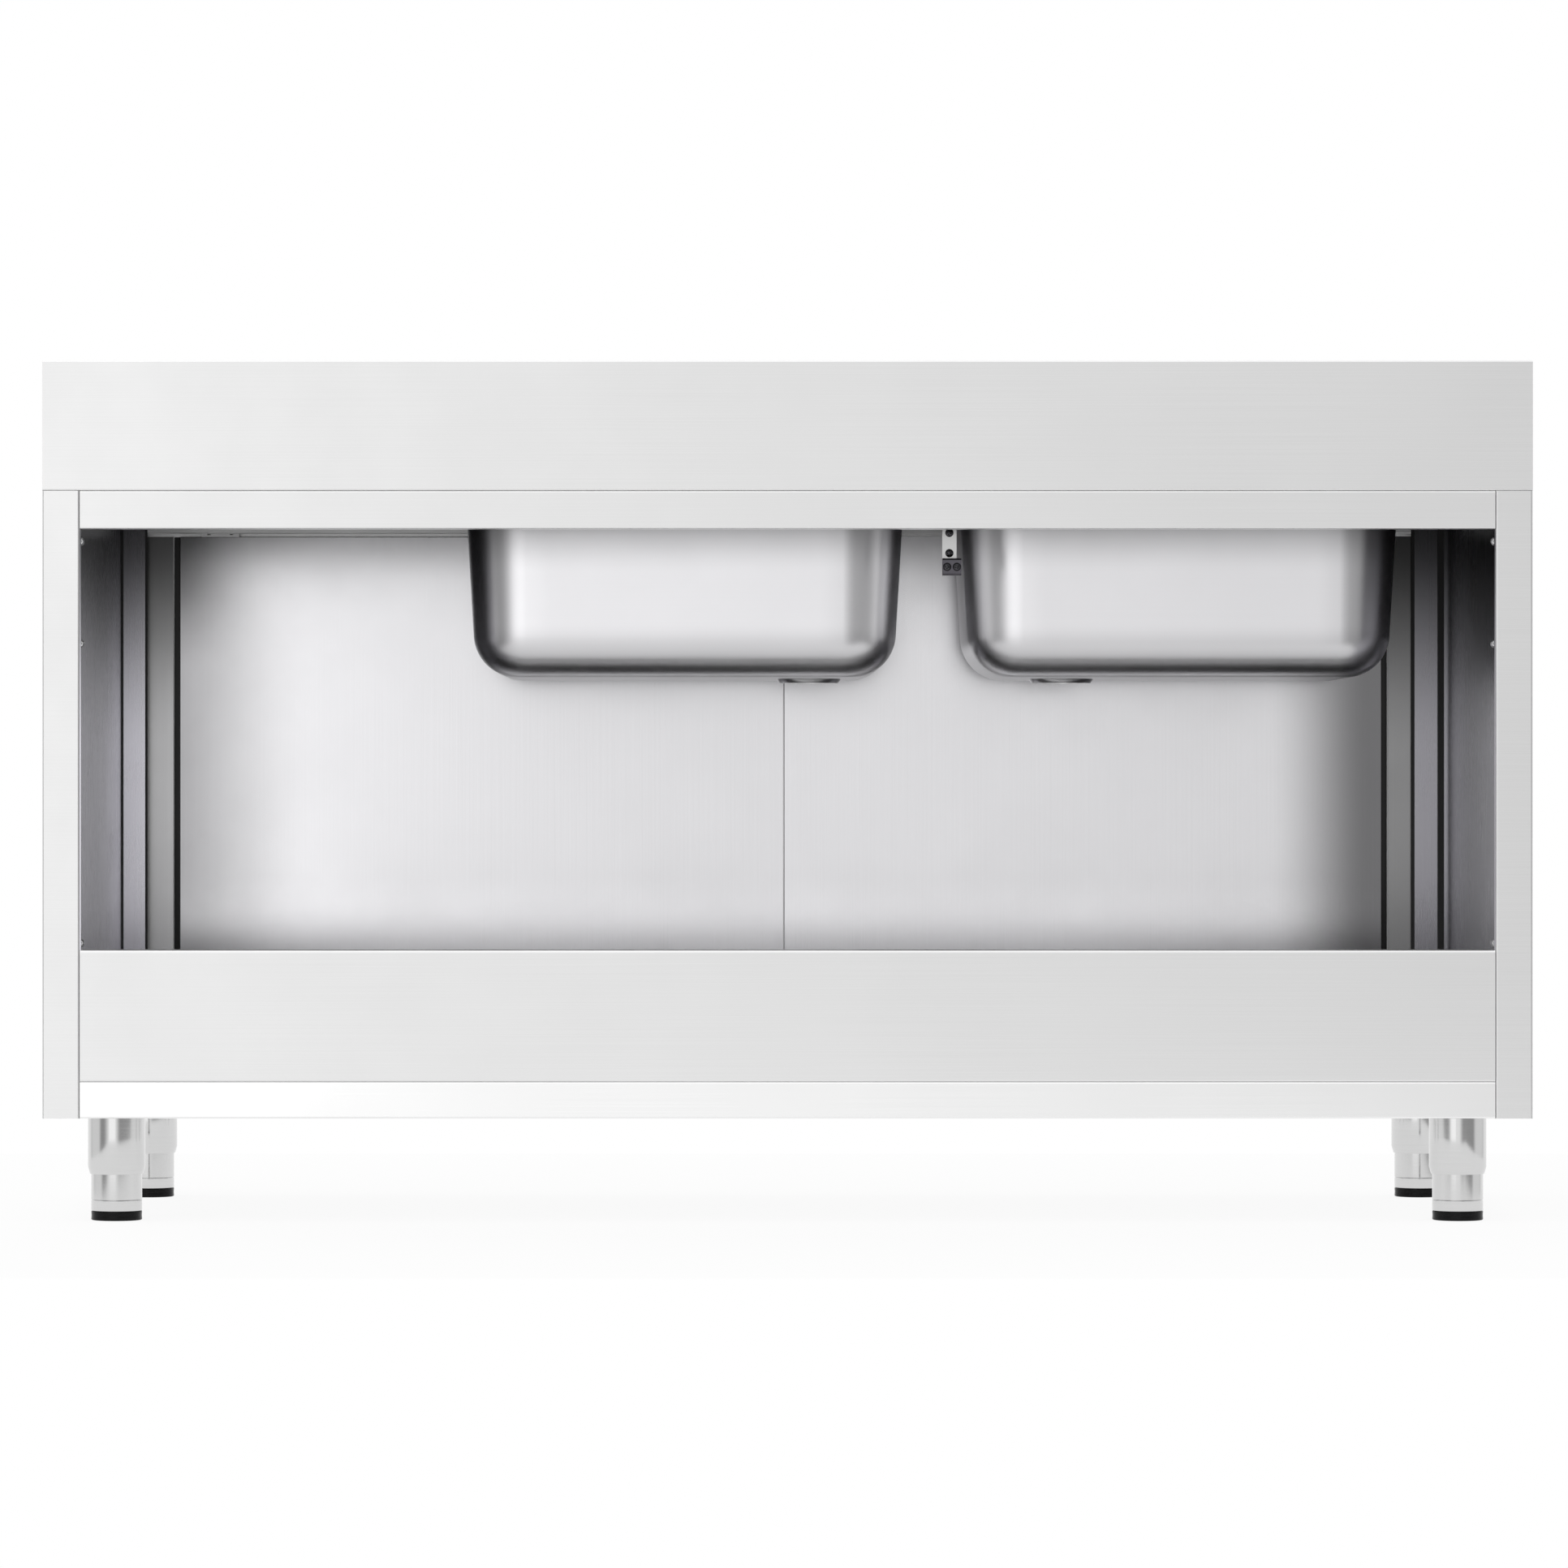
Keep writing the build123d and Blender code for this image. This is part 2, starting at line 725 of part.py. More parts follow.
def track_screw_planes():
    """Where the track's screws stand, heads down, in the front of the front lane."""
    y = body_front + bend_radius + track_sheet + small_head_radius + seat_gap
    pitch = 2 * inner_half_width / track_screw_count
    first = -inner_half_width + pitch / 2
    return [
        Plane(origin=(first + index * pitch, y, track_top - track_sheet), x_dir=(1, 0, 0), z_dir=(0, 0, -1))
        for index in range(track_screw_count)
    ]


def make_track_screws():
    """The screws that hold the top track under the header."""
    grip = track_sheet + body_sheet
    return grouped(
        dome_screw(plane, small_head_radius, small_head_height, small_shank_radius, grip)
        for plane in track_screw_planes()
    )


def make_bottom_track():
    """A two-lane folded guide channel on the front of the shelf."""
    reach = inner_half_width - seat_gap
    flanges = (front_lane - lane_pitch / 2, lane_flange(front_lane), lane_flange(rear_lane))
    half_sheet = body_sheet / 2
    with BuildPart() as track:
        with BuildSketch(Plane.YZ.offset(-reach)):
            rectangle_between(
                (flanges[0] - half_sheet, shelf_level), (flanges[-1] + half_sheet, shelf_level + body_sheet)
            )
            for y in flanges:
                rectangle_between(
                    (y - half_sheet, shelf_level), (y + half_sheet, shelf_level + bottom_track_height)
                )
        extrude(amount=2 * reach)
    return track.part


# ---- Doors ----
# Each door is drawn as if it closed to the right. The right door runs in the
# front lane and the left door, its mirror image, in the rear lane.
hanger_sheet = bracket_sheet
roller_level = track_lip_level + track_sheet + roller_lift + roller_radius


def door_lane(side):
    """The Y middle of the lane that a door runs in."""
    return front_lane if side > 0 else rear_lane


def meeting_edge(side):
    """Where a door's other edge lies, measured towards the side that it closes to."""
    return meeting_line_x - door_overlap if side > 0 else -meeting_line_x


def closed_edge(side):
    """Where a closed door's outer edge lies, measured towards the side that it closes to."""
    return inner_half_width - (right_door_end_gap if side > 0 else left_door_end_gap)


def handle_edge(side):
    """Where a door's handle strip ends, measured towards the side that it closes to."""
    return closed_edge(side) - handle_zone


def make_door_face(side):
    """A door's front sheet, folded into a full-height finger pull whose box has closed ends."""
    front = door_lane(side) - door_thickness / 2
    rear = front + door_thickness
    pull_outer = closed_edge(side) - pull_edge
    pull_inner = pull_outer - pull_width
    outline = [
        (meeting_edge(side), rear),
        (meeting_edge(side), front),
        (pull_inner, front),
        (pull_inner, front + pull_depth),
        (pull_outer, front + pull_depth),
        (pull_outer, front),
        (closed_edge(side), front),
        (closed_edge(side), rear),
        (handle_edge(side), rear),
    ]
    floor = Plane.XY.offset(door_bottom)
    height = door_top - door_bottom
    low_x, high_x = sorted((side * handle_edge(side), side * (closed_edge(side) - door_sheet)))
    pull_low_x, pull_high_x = sorted((side * pull_inner, side * pull_outer))
    with BuildPart() as face:
        add(folded_sheet(floor, toward(side, outline), door_sheet, height, 2 * door_sheet))
        for level in (door_bottom, door_top - door_sheet):
            with BuildSketch(Plane.XY.offset(level)):
                rectangle_between((low_x, front + door_sheet), (high_x, rear - door_sheet))
                rectangle_between(
                    (pull_low_x, front), (pull_high_x, front + pull_depth), mode=Mode.SUBTRACT
                )
            extrude(amount=door_sheet)
    return face.part


def make_door_liner(side):
    """A door's inner sheet, a shallow pan set into the back of the face."""
    rear = door_lane(side) + door_thickness / 2
    front = rear - door_thickness + 2 * door_sheet
    left = meeting_edge(side) + door_sheet + weld_gap
    right = handle_edge(side) - shadow_groove
    low_x, high_x = sorted((side * left, side * right))
    with BuildPart() as liner:
        with BuildSketch(Plane.XY.offset(door_bottom)):
            rectangle_between((low_x, front), (high_x, rear))
        extrude(amount=door_top - door_bottom)
        fillet(liner.faces().sort_by(Axis.Y)[-1].edges(), door_sheet)
        with BuildSketch(Plane.XY.offset(door_bottom + door_sheet)):
            rectangle_between((low_x + door_sheet, front), (high_x - door_sheet, rear - door_sheet))
        extrude(amount=door_top - door_bottom - 2 * door_sheet, mode=Mode.SUBTRACT)
        add(holes(hanger_screw_planes(side), small_hole_radius, screw_grip), mode=Mode.SUBTRACT)
        with BuildSketch(Plane.XY.offset(door_bottom)):
            with Locations(*[(x, door_lane(side)) for x in hanger_places(side)]):
                Circle(small_head_radius + screw_hole_clearance)
        extrude(amount=door_sheet, mode=Mode.SUBTRACT)
    return liner.part


def make_door_stiffeners(side):
    """Upright hat channels inside a door, from its face to its liner."""
    face_inside = door_lane(side) - door_thickness / 2 + door_sheet
    depth = door_thickness - 2 * door_sheet - seat_gap
    left = meeting_edge(side)
    pitch = (handle_edge(side) - left) / door_stiffener_count
    middle = (door_bottom + door_top) / 2
    length = door_top - door_bottom - 2 * (door_sheet + seat_gap)
    channels = []
    for index in range(door_stiffener_count):
        x = side * (left + pitch * (index + 0.5))
        plane = Plane(origin=(x, face_inside, middle), x_dir=(1, 0, 0), z_dir=(0, 0, 1))
        channels.append(hat_channel(plane, length, stiffener_width, depth, stiffener_brim, door_sheet))
    return grouped(channels)


def hanger_places(side):
    """The X places of a door's two hangers."""
    return (side * (closed_edge(side) - hanger_inset), side * (meeting_edge(side) + hanger_inset))


def hanger_front(side):
    """The Y of a hanger plate's front face, just clear of the track's lip."""
    roller_front = lane_flange(door_lane(side)) - track_sheet / 2 - roller_side_gap - roller_width
    return roller_front - roller_side_gap - hanger_sheet


def hanger_screw_planes(side):
    """Where the screws stand that hold the hangers' feet to the door's top."""
    y = hanger_front(side) + hanger_sheet + (hanger_foot_width - hanger_sheet) / 2
    return [
        Plane(origin=(x + shift, y, door_top + hanger_sheet), x_dir=(1, 0, 0), z_dir=(0, 0, 1))
        for x in hanger_places(side)
        for shift in (-hanger_screw_spacing / 2, hanger_screw_spacing / 2)
    ]


def make_hanger(side, x):
    """A bent plate that stands on the door's top and carries a roller on its axle."""
    front = hanger_front(side)
    plate_top = roller_level + axle_head_radius + hanger_sheet
    axle_plane = Plane(origin=(x, front, roller_level), x_dir=(1, 0, 0), z_dir=(0, 1, 0))
    low_x = x - hanger_length / 2
    high_x = x + hanger_length / 2
    with BuildPart() as hanger:
        with BuildSketch(Plane.XY.offset(door_top)):
            rectangle_between((low_x, front), (high_x, front + hanger_foot_width))
        extrude(amount=hanger_sheet)
        with BuildSketch(Plane.XY.offset(door_top)):
            rectangle_between((low_x, front), (high_x, front + hanger_sheet))
        extrude(amount=plate_top - door_top)
        chamfer(hanger.edges().filter_by(Axis.Y).group_by(Axis.Z)[-1], hanger_corner)
        with BuildSketch(axle_plane):
            Circle(axle_radius + running_clearance)
        extrude(amount=hanger_sheet, mode=Mode.SUBTRACT)
        add(holes(hanger_screw_planes(side), small_hole_radius, hanger_sheet), mode=Mode.SUBTRACT)
    return hanger.part


def make_hangers(side):
    """A door's two hangers."""
    return grouped(make_hanger(side, x) for x in hanger_places(side))


def make_hanger_screws(side):
    """The screws through the hangers' feet into the door's top."""
    grip = hanger_sheet + door_sheet + body_sheet
    return grouped(
        dome_screw(plane, small_head_radius, small_head_height, small_shank_radius, grip)
        for plane in hanger_screw_planes(side)
    )


def make_axle(side, x):
    """A rivet axle: one head on the hanger's front, the other sunk in the roller's hub."""
    front = hanger_front(side)
    roller_rear = front + hanger_sheet + roller_side_gap + roller_width
    sunk_head = roller_rear - axle_head - roller_side_gap
    stations = [
        (front - axle_head, axle_head, axle_head_radius),
        (front, sunk_head - front, axle_radius),
        (sunk_head, axle_head, axle_head_radius),
    ]
    with BuildPart() as axle:
        for start, length, radius in stations:
            with BuildSketch(Plane(origin=(x, start, roller_level), x_dir=(1, 0, 0), z_dir=(0, 1, 0))):
                Circle(radius)
            extrude(amount=length)
    return axle.part


def make_axles(side):
    """A door's two roller axles."""
    return grouped(make_axle(side, x) for x in hanger_places(side))


def make_roller(side, x):
    """A crowned roller with a hub recess for its axle's head."""
    front = hanger_front(side) + hanger_sheet + roller_side_gap
    bore = axle_radius + running_clearance
    recess = axle_head_radius + roller_side_gap
    recess_floor = roller_width - axle_head - 2 * roller_side_gap
    shoulder = roller_radius - roller_lift
    plane = Plane(origin=(x, front, roller_level), x_dir=(0, 1, 0), z_dir=(1, 0, 0))
    with BuildPart() as roller:
        with BuildSketch(plane):
            with BuildLine():
                Polyline(
                    (0, shoulder), (0, bore), (recess_floor, bore), (recess_floor, recess),
                    (roller_width, recess), (roller_width, shoulder),
                )
                ThreePointArc((roller_width, shoulder), (roller_width / 2, roller_radius), (0, shoulder))
            make_face()
        revolve(axis=Axis((x, front, roller_level), (0, 1, 0)))
    return roller.part


def make_guides(side):
    """The blocks under a door that run in the bottom track, each on a spigot."""
    width = lane_pitch - body_sheet - 2 * guide_side_gap
    bottom = shelf_level + body_sheet + body_sheet
    guides = []
    for x in hanger_places(side):
        with BuildPart() as guide:
            with BuildSketch(Plane.XY.offset(bottom)):
                with Locations((x, door_lane(side))):
                    RectangleRounded(guide_length, width, guide_corner)
            extrude(amount=door_bottom - bottom)
            with BuildSketch(Plane.XY.offset(door_bottom)):
                with Locations((x, door_lane(side))):
                    Circle(small_head_radius)
            extrude(amount=guide_spigot)
        guides.append(guide.part)
    return grouped(guides)


def make_track_stops():
    """Blocks in the top track's lanes that end each door's travel both ways."""
    stops = []
    for side in (1, -1):
        outer, inner = hanger_places(side)
        closed_stop = outer + side * (hanger_length / 2 + seat_gap)
        open_stop = inner - side * (hanger_length / 2 + seat_gap + door_travel)
        for start, reach in ((closed_stop, stop_length), (open_stop, -stop_length)):
            low_x, high_x = sorted((start, start + side * reach))
            front = hanger_front(side)
            rear = lane_flange(door_lane(side)) - track_sheet / 2 - seat_gap
            with BuildPart() as stop:
                with BuildSketch(Plane.XY.offset(track_top - track_sheet - stop_height)):
                    rectangle_between((low_x, front), (high_x, rear))
                extrude(amount=stop_height)
                chamfer(stop.faces().sort_by(Axis.Z)[0].edges(), body_sheet)
            stops.append(stop.part)
    return grouped(stops)


# ---- Legs ----
def upright_revolve(x, y, outline):
    """An outline of radii and levels, turned about an upright axis."""
    plane = Plane(origin=(x, y, 0), x_dir=(1, 0, 0), z_dir=(0, -1, 0))
    with BuildPart() as turned:
        with BuildSketch(plane):
            with BuildLine():
                Polyline(*outline, close=True)
            make_face()
        revolve(axis=Axis((x, y, 0), (0, 0, 1)))
    return turned.part


def make_leg_sleeve(x, y):
    """A tube with a drawn-in lower end, welded to the plate under the shelf."""
    bore = sleeve_radius - sleeve_wall
    mouth = foot_radius + foot_slide_gap
    outline = [
        (bore, leg_plate_bottom),
        (bore, sleeve_shoulder),
        (mouth, sleeve_bottom + sleeve_wall),
        (mouth, sleeve_bottom),
        (mouth + body_sheet, sleeve_bottom),
        (sleeve_radius, sleeve_shoulder),
        (sleeve_radius, leg_plate_bottom),
    ]
    with BuildPart() as sleeve:
        add(upright_revolve(x, y, outline))
        with BuildSketch(Plane.XY.offset(leg_plate_bottom)):
            with Locations((x, y)):
                RectangleRounded(leg_plate_width, leg_plate_length, bend_radius)
        extrude(amount=leg_plate_thickness)
    return sleeve.part


def make_leg_nuts(places):
    """The threaded discs pressed into the sleeves, one for each spindle."""
    outer = sleeve_radius - sleeve_wall
    bore = spindle_radius + running_clearance
    boss = spindle_radius * 2
    top = nut_bottom + nut_thickness
    web_bottom = nut_bottom + nut_step
    web_top = top - nut_step
    outline = [
        (bore, nut_bottom), (boss, nut_bottom), (boss, web_bottom), (outer, web_bottom),
        (outer, web_top), (boss, web_top), (boss, top), (bore, top),
    ]
    return grouped(upright_revolve(x, y, outline) for x, y in places)


def make_foot_tube(x, y):
    """The foot's skirt: a tube with a thick floor and a groove line round its foot ring."""
    bore = foot_radius - foot_wall
    spigot_bore = pad_spigot_radius + running_clearance
    spigot_top = foot_bottom + pad_spigot_height
    outline = [
        (0, spigot_top), (spigot_bore, spigot_top), (spigot_bore, foot_bottom), (foot_radius, foot_bottom),
        (foot_radius, foot_groove_level - foot_groove), (foot_radius - foot_groove, foot_groove_level),
        (foot_radius, foot_groove_level + foot_groove), (foot_radius, foot_top), (bore, foot_top),
        (bore, foot_bottom + foot_floor), (0, foot_bottom + foot_floor),
    ]
    return upright_revolve(x, y, outline)


def make_foot_spindle(x, y):
    """The threaded rod that stands on the foot's floor and runs in the sleeve's nut."""
    bottom = foot_bottom + foot_floor
    tip = spindle_radius - sleeve_wall
    outline = [
        (0, bottom), (spindle_radius, bottom), (spindle_radius, spindle_top - sleeve_wall),
        (tip, spindle_top), (0, spindle_top),
    ]
    return upright_revolve(x, y, outline)


def make_foot_pad(x, y):
    """The round plastic pad on the floor, with the spigot that the foot turns on."""
    outline = [
        (0, 0), (foot_radius - pad_edge_radius, 0), (foot_radius, pad_edge_radius),
        (foot_radius, pad_height - pad_edge_radius / 2), (foot_radius - pad_edge_radius / 2, pad_height),
        (pad_spigot_radius, pad_height), (pad_spigot_radius, pad_height + pad_spigot_height),
        (0, pad_height + pad_spigot_height),
    ]
    return upright_revolve(x, y, outline)


leg_places = {
    "front_left": (-leg_x, front_leg_y),
    "front_right": (leg_x, front_leg_y),
    "rear_left": (-leg_x, rear_leg_y),
    "rear_right": (leg_x, rear_leg_y),
}


# ---- Export ----
def save_pieces(pieces):
    """Label each piece and write it to its own file."""
    os.makedirs("parts", exist_ok=True)
    for name, piece in pieces.items():
        piece.label = name
        export_step(piece, f"parts/{name}.step")


def carcass_pieces():
    """The worktop, the bowls and the cupboard, with what is fixed to them."""
    pieces = {
        "worktop": make_worktop(),
        "left_bowl": make_bowl(left_bowl_x, left_waste_offset),
        "right_bowl": make_bowl(right_bowl_x, right_waste_offset),
        "worktop_stiffeners": make_worktop_stiffeners(),
        "bowl_brace": make_bowl_brace(),
        "liner_screws": make_liner_screws(),
        "rear_top_rail": make_rear_top_rail(),
        "lower_rear_panel": make_lower_rear_panel(),
        "front_header": make_front_header(),
        "bottom_shelf": make_bottom_shelf(),
        "shelf_stiffeners": make_shelf_stiffeners(),
        "earth_bracket": make_earth_bracket(),
        "earth_terminal": make_earth_terminal(),
        "earth_screws": make_earth_screws(),
        "top_track": make_top_track(),
        "track_screws": make_track_screws(),
        "track_stops": make_track_stops(),
        "bottom_track": make_bottom_track(),
        "jamb_seals": make_jamb_seals(),
        "leg_nuts": make_leg_nuts(leg_places.values()),
    }
    for side, name in ((1, "right"), (-1, "left")):
        pieces[f"{name}_side_panel"] = make_side_panel(side)
        pieces[f"{name}_side_liner"] = make_side_liner(side)
        pieces[f"{name}_jamb"] = make_jamb(side)
    return pieces


def door_pieces():
    """Both doors with their hangers, axles, rollers and guides."""
    pieces = {}
    for side, name in ((1, "right_door"), (-1, "left_door")):
        outer, inner = hanger_places(side)
        pieces[f"{name}_face"] = make_door_face(side)
        pieces[f"{name}_liner"] = make_door_liner(side)
        pieces[f"{name}_stiffeners"] = make_door_stiffeners(side)
        pieces[f"{name}_hangers"] = make_hangers(side)
        pieces[f"{name}_hanger_screws"] = make_hanger_screws(side)
        pieces[f"{name}_axles"] = make_axles(side)
        pieces[f"{name}_guides"] = make_guides(side)
        pieces[f"{name}_outer_roller"] = make_roller(side, outer)
        pieces[f"{name}_inner_roller"] = make_roller(side, inner)
    return pieces


def leg_pieces():
    """The four legs' sleeves and feet."""
    pieces = {}
    for name, (x, y) in leg_places.items():
        pieces[f"{name}_leg_sleeve"] = make_leg_sleeve(x, y)
        pieces[f"{name}_foot_tube"] = make_foot_tube(x, y)
        pieces[f"{name}_foot_spindle"] = make_foot_spindle(x, y)
        pieces[f"{name}_foot_pad"] = make_foot_pad(x, y)
    return pieces


save_pieces(carcass_pieces())
save_pieces(door_pieces())
save_pieces(leg_pieces())
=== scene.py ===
"""Looks of the kitchen sink unit: finishes, pressed bowls, screws, feet and the studio."""
import json
import logging
import math
from dataclasses import dataclass, field
from enum import Enum
from functools import reduce
from typing import Any

import bmesh
import bpy
import numpy as np
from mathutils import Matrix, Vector


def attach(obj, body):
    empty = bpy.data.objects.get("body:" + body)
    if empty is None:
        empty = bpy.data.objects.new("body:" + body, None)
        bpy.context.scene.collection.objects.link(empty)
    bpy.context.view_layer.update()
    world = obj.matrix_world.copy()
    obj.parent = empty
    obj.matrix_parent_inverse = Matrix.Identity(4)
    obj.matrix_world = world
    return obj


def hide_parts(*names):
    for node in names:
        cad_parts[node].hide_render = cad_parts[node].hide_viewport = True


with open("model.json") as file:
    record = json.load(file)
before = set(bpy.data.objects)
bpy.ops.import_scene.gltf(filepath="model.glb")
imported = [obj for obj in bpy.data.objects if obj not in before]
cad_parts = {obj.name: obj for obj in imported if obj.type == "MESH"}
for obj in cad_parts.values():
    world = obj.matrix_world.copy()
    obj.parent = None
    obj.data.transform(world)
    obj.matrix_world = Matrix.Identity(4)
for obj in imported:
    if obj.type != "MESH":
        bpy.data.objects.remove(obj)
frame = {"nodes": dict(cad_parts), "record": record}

LOG = logging.getLogger("sink_unit")
Vec = tuple[float, float, float]
Pair = tuple[float, float]
Kind = tuple[float, float, float, float]
Material = bpy.types.Material
MM = 0.001
FULL_TURN = 2.0 * math.pi
EASED = {"interpolation_type": "SMOOTHSTEP"}
WHITE = (1.0, 1.0, 1.0, 1.0)
# Cool tints that paint the bluish cast of shade onto the steel inside the cupboard.
COOL = (0.95, 0.937, 1.0)
FAINTLY_COOL = (0.984, 0.978, 1.0)
FINE_LINES = 0.000002
FAINT_LINES = 0.0000005
WELD_REACH = 0.0000004
UNLINED = 10**6
ROLLER_OFFSET = 3.5


# ---- Shader expressions ----
class Sock:
    """A shader socket that adds Math nodes as it is used in Python expressions."""

    def __init__(self, board: "Board", link: bpy.types.NodeSocket) -> None:
        """Keeps the board that the nodes go on, and the socket."""
        self.board = board
        self.link = link

    def __add__(self, other: Any) -> "Sock":
        """This plus other."""
        return self.board.math("ADD", self, other)

    def __radd__(self, other: Any) -> "Sock":
        """Other plus this."""
        return self.board.math("ADD", other, self)

    def __sub__(self, other: Any) -> "Sock":
        """This less other."""
        return self.board.math("SUBTRACT", self, other)

    def __rsub__(self, other: Any) -> "Sock":
        """Other less this."""
        return self.board.math("SUBTRACT", other, self)

    def __mul__(self, other: Any) -> "Sock":
        """This times other."""
        return self.board.math("MULTIPLY", self, other)

    def __rmul__(self, other: Any) -> "Sock":
        """Other times this."""
        return self.board.math("MULTIPLY", other, self)

    def size(self) -> "Sock":
        """How far this is from 0, either way."""
        return self.board.math("MAXIMUM", self, 0.0 - self)

    def between(self, low: float, high: float) -> "Sock":
        """How far this has come from low to high, from 0 to 1, with soft ends."""
        inputs = {"Value": self, "From Min": low, "From Max": high}
        return self.board.node("ShaderNodeMapRange", EASED, inputs, "Result")


class Board:
    """A material's or the sky's node tree, with one way to add any node."""

    def __init__(self, name: str, sky: bpy.types.World | None = None) -> None:
        """Starts an empty tree.

        Args:
            name: The material's name.
            sky: The world to work on in place of a new material.
        """
        self.material = sky or bpy.data.materials.new(name)
        self.output = "ShaderNodeOutputWorld" if sky else "ShaderNodeOutputMaterial"
        self.material.use_nodes = True
        self.tree = self.material.node_tree
        self.tree.nodes.clear()

    def node(
        self, kind: str, settings: dict[str, Any], inputs: dict[Any, Any], output: Any = 0
    ) -> Sock:
        """Adds a node, sets it up, then fills its sockets.

        Args:
            kind: The node's type name.
            settings: Its properties, which are set first.
            inputs: Values or sockets for its inputs, by name or number.
            output: The output that is wanted, by name or number.

        Returns:
            That output.
        """
        made = self.tree.nodes.new(kind)
        for key, value in settings.items():
            setattr(made, key, value)
        for key, value in inputs.items():
            if isinstance(value, Sock):
                self.tree.links.new(value.link, made.inputs[key])
            elif value is not None:
                made.inputs[key].default_value = value
        return Sock(self, made.outputs[output])

    def math(self, operation: str, first: Any, second: Any) -> Sock:
        """A Math node on two values or sockets."""
        return self.node("ShaderNodeMath", {"operation": operation}, {0: first, 1: second})

    def point(self) -> Sock:
        """The point on the object, in metres."""
        return self.node("ShaderNodeTexCoord", {}, {}, "Object")

    def place(self, scale: Vec = (1.0, 1.0, 1.0), move: Vec = (0.0, 0.0, 0.0)) -> Sock:
        """The point less a move in metres, times how often a pattern repeats in a metre."""
        moved = self.vector("SUBTRACT", self.point(), move)
        return self.vector("MULTIPLY", moved, scale)

    def vector(self, operation: str, first: Any, second: Any) -> Sock:
        """A Vector Math node on two vectors."""
        return self.node("ShaderNodeVectorMath", {"operation": operation}, {0: first, 1: second})

    def along(self, axis: str) -> Sock:
        """How far the point lies along one of the object's axes, in metres."""
        return self.node("ShaderNodeSeparateXYZ", {}, {"Vector": self.point()}, axis)

    def ray(self, *kinds: str) -> Sock:
        """1 where the ray is of one of some Light Path kinds, otherwise 0."""
        sorts = [self.node("ShaderNodeLightPath", {}, {}, kind) for kind in kinds]
        return reduce(lambda found, sort: self.math("MAXIMUM", found, sort), sorts)

    def noise(self, point: Sock, scale: float, detail: float, rough: float) -> Sock:
        """Cloudy noise from 0 to 1, with finer layers that are as strong as the roughness."""
        inputs = {"Vector": point, "Scale": scale, "Detail": detail, "Roughness": rough}
        return self.node("ShaderNodeTexNoise", {"noise_dimensions": "3D"}, inputs, "Fac")

    def shade(self, value: Sock, dark: Vec, light: Vec) -> Sock:
        """A colour between dark and light, which are its colours at 0 and at 1."""
        inputs = {"Factor": value, 6: (*dark, 1.0), 7: (*light, 1.0)}
        return self.node("ShaderNodeMix", {"data_type": "RGBA"}, inputs, 2)

    def bump(self, height: Sock, depth: float) -> Sock:
        """A normal that follows heights from 0 to 1, of which 1 stands for a depth in metres."""
        inputs = {"Height": height, "Strength": 1.0, "Distance": depth}
        return self.node("ShaderNodeBump", {}, inputs, "Normal")

    def surface(self, inputs: dict[str, Any]) -> Material:
        """Ends the material in one Principled shader with some socket values."""
        return self.end(self.node("ShaderNodeBsdfPrincipled", {}, inputs, "BSDF"))

    def end(self, shader: Sock) -> Material:
        """Joins a shader to a new output node and gives the finished material."""
        self.tree.links.new(shader.link, self.tree.nodes.new(self.output).inputs["Surface"])
        return self.material


# ---- Finishes ----
class Grain(Enum):
    """The way a brushed surface's fine lines run."""

    ALONG_X = (3.0, 900.0, 900.0)
    ALONG_Z = (900.0, 900.0, 3.0)
    AROUND_Z = (8.0, 8.0, 1400.0)
    CLOUDED = (60.0, 60.0, 60.0)


@dataclass(frozen=True)
class SatinSteel:
    """Brushed stainless sheet: fine lines along the grain, soft clouds and faint wear."""

    name: str
    tone: float = 0.80
    roughness: float = 0.34
    grain: Grain = Grain.ALONG_X
    line_depth: float = 0.000004
    cloud: float = 0.03
    streak: float = 0.05
    tint: Vec = (1.0, 1.0, 1.0)
    line_swing: float = 0.10
    smudge_swing: float = 0.08

    def tone_at(self, board: Board) -> Any:
        """How light the steel is, which other finishes vary over the piece."""
        return self.tone

    def build(self) -> Material:
        """Makes the material.

        The tone is the sheet's own, times one plus the fine lines' and the clouds' small
        shares. The roughness follows the lines and the smudges.

        Returns:
            The finished material.
        """
        board = Board(self.name)
        lines = board.noise(board.place(self.grain.value), scale=1.0, detail=3.0, rough=0.6)
        clouds = board.noise(board.place(), scale=3.1, detail=2.0, rough=0.55)
        smudges = board.noise(board.place(move=(0.3, 0.1, 0.7)), scale=11.0, detail=4.0, rough=0.6)
        swing = (lines - 0.5) * (2.0 * self.streak) + (clouds - 0.5) * (2.0 * self.cloud)
        tone = (1.0 + swing) * self.tone_at(board)
        rough = self.roughness + (lines - 0.5) * self.line_swing
        return board.surface({
            "Base Color": board.shade(tone, (0.0, 0.0, 0.0), self.tint),
            "Metallic": 1.0,
            "Roughness": rough + (smudges - 0.5) * self.smudge_swing,
            "Normal": board.bump(lines, self.line_depth),
        })


@dataclass(frozen=True)
class ShadePaintedSteel(SatinSteel):
    """Steel inside the cupboard, with painted shade that darkens it to the top and at the left end."""

    # Painted shade: the share of tone left at the top, under the worktop, and at the left end.
    top_shade_share: float = 0.17
    top_levels: Pair = (0.50, 0.76)
    left_shade_share: float = 0.5
    left_places: Pair = (0.5, -0.5)

    def tone_at(self, board: Board) -> Any:
        """The tone, darkened by painted shade from the lower level to the upper one and towards -X."""
        return self.tone * self.share_at(board)

    def share_at(self, board: Board) -> Sock:
        """The share of the tone that the painted shade leaves at a point.

        One less what the eased height takes, times one less what the left end takes.

        Args:
            board: The material's board.

        Returns:
            The share, from the darkest corner's to 1.
        """
        height = board.along("Z").between(*self.top_levels)
        left = board.along("X").between(*self.left_places)
        return (1.0 - height * (1.0 - self.top_shade_share)) * (1.0 - left * (1.0 - self.left_shade_share))


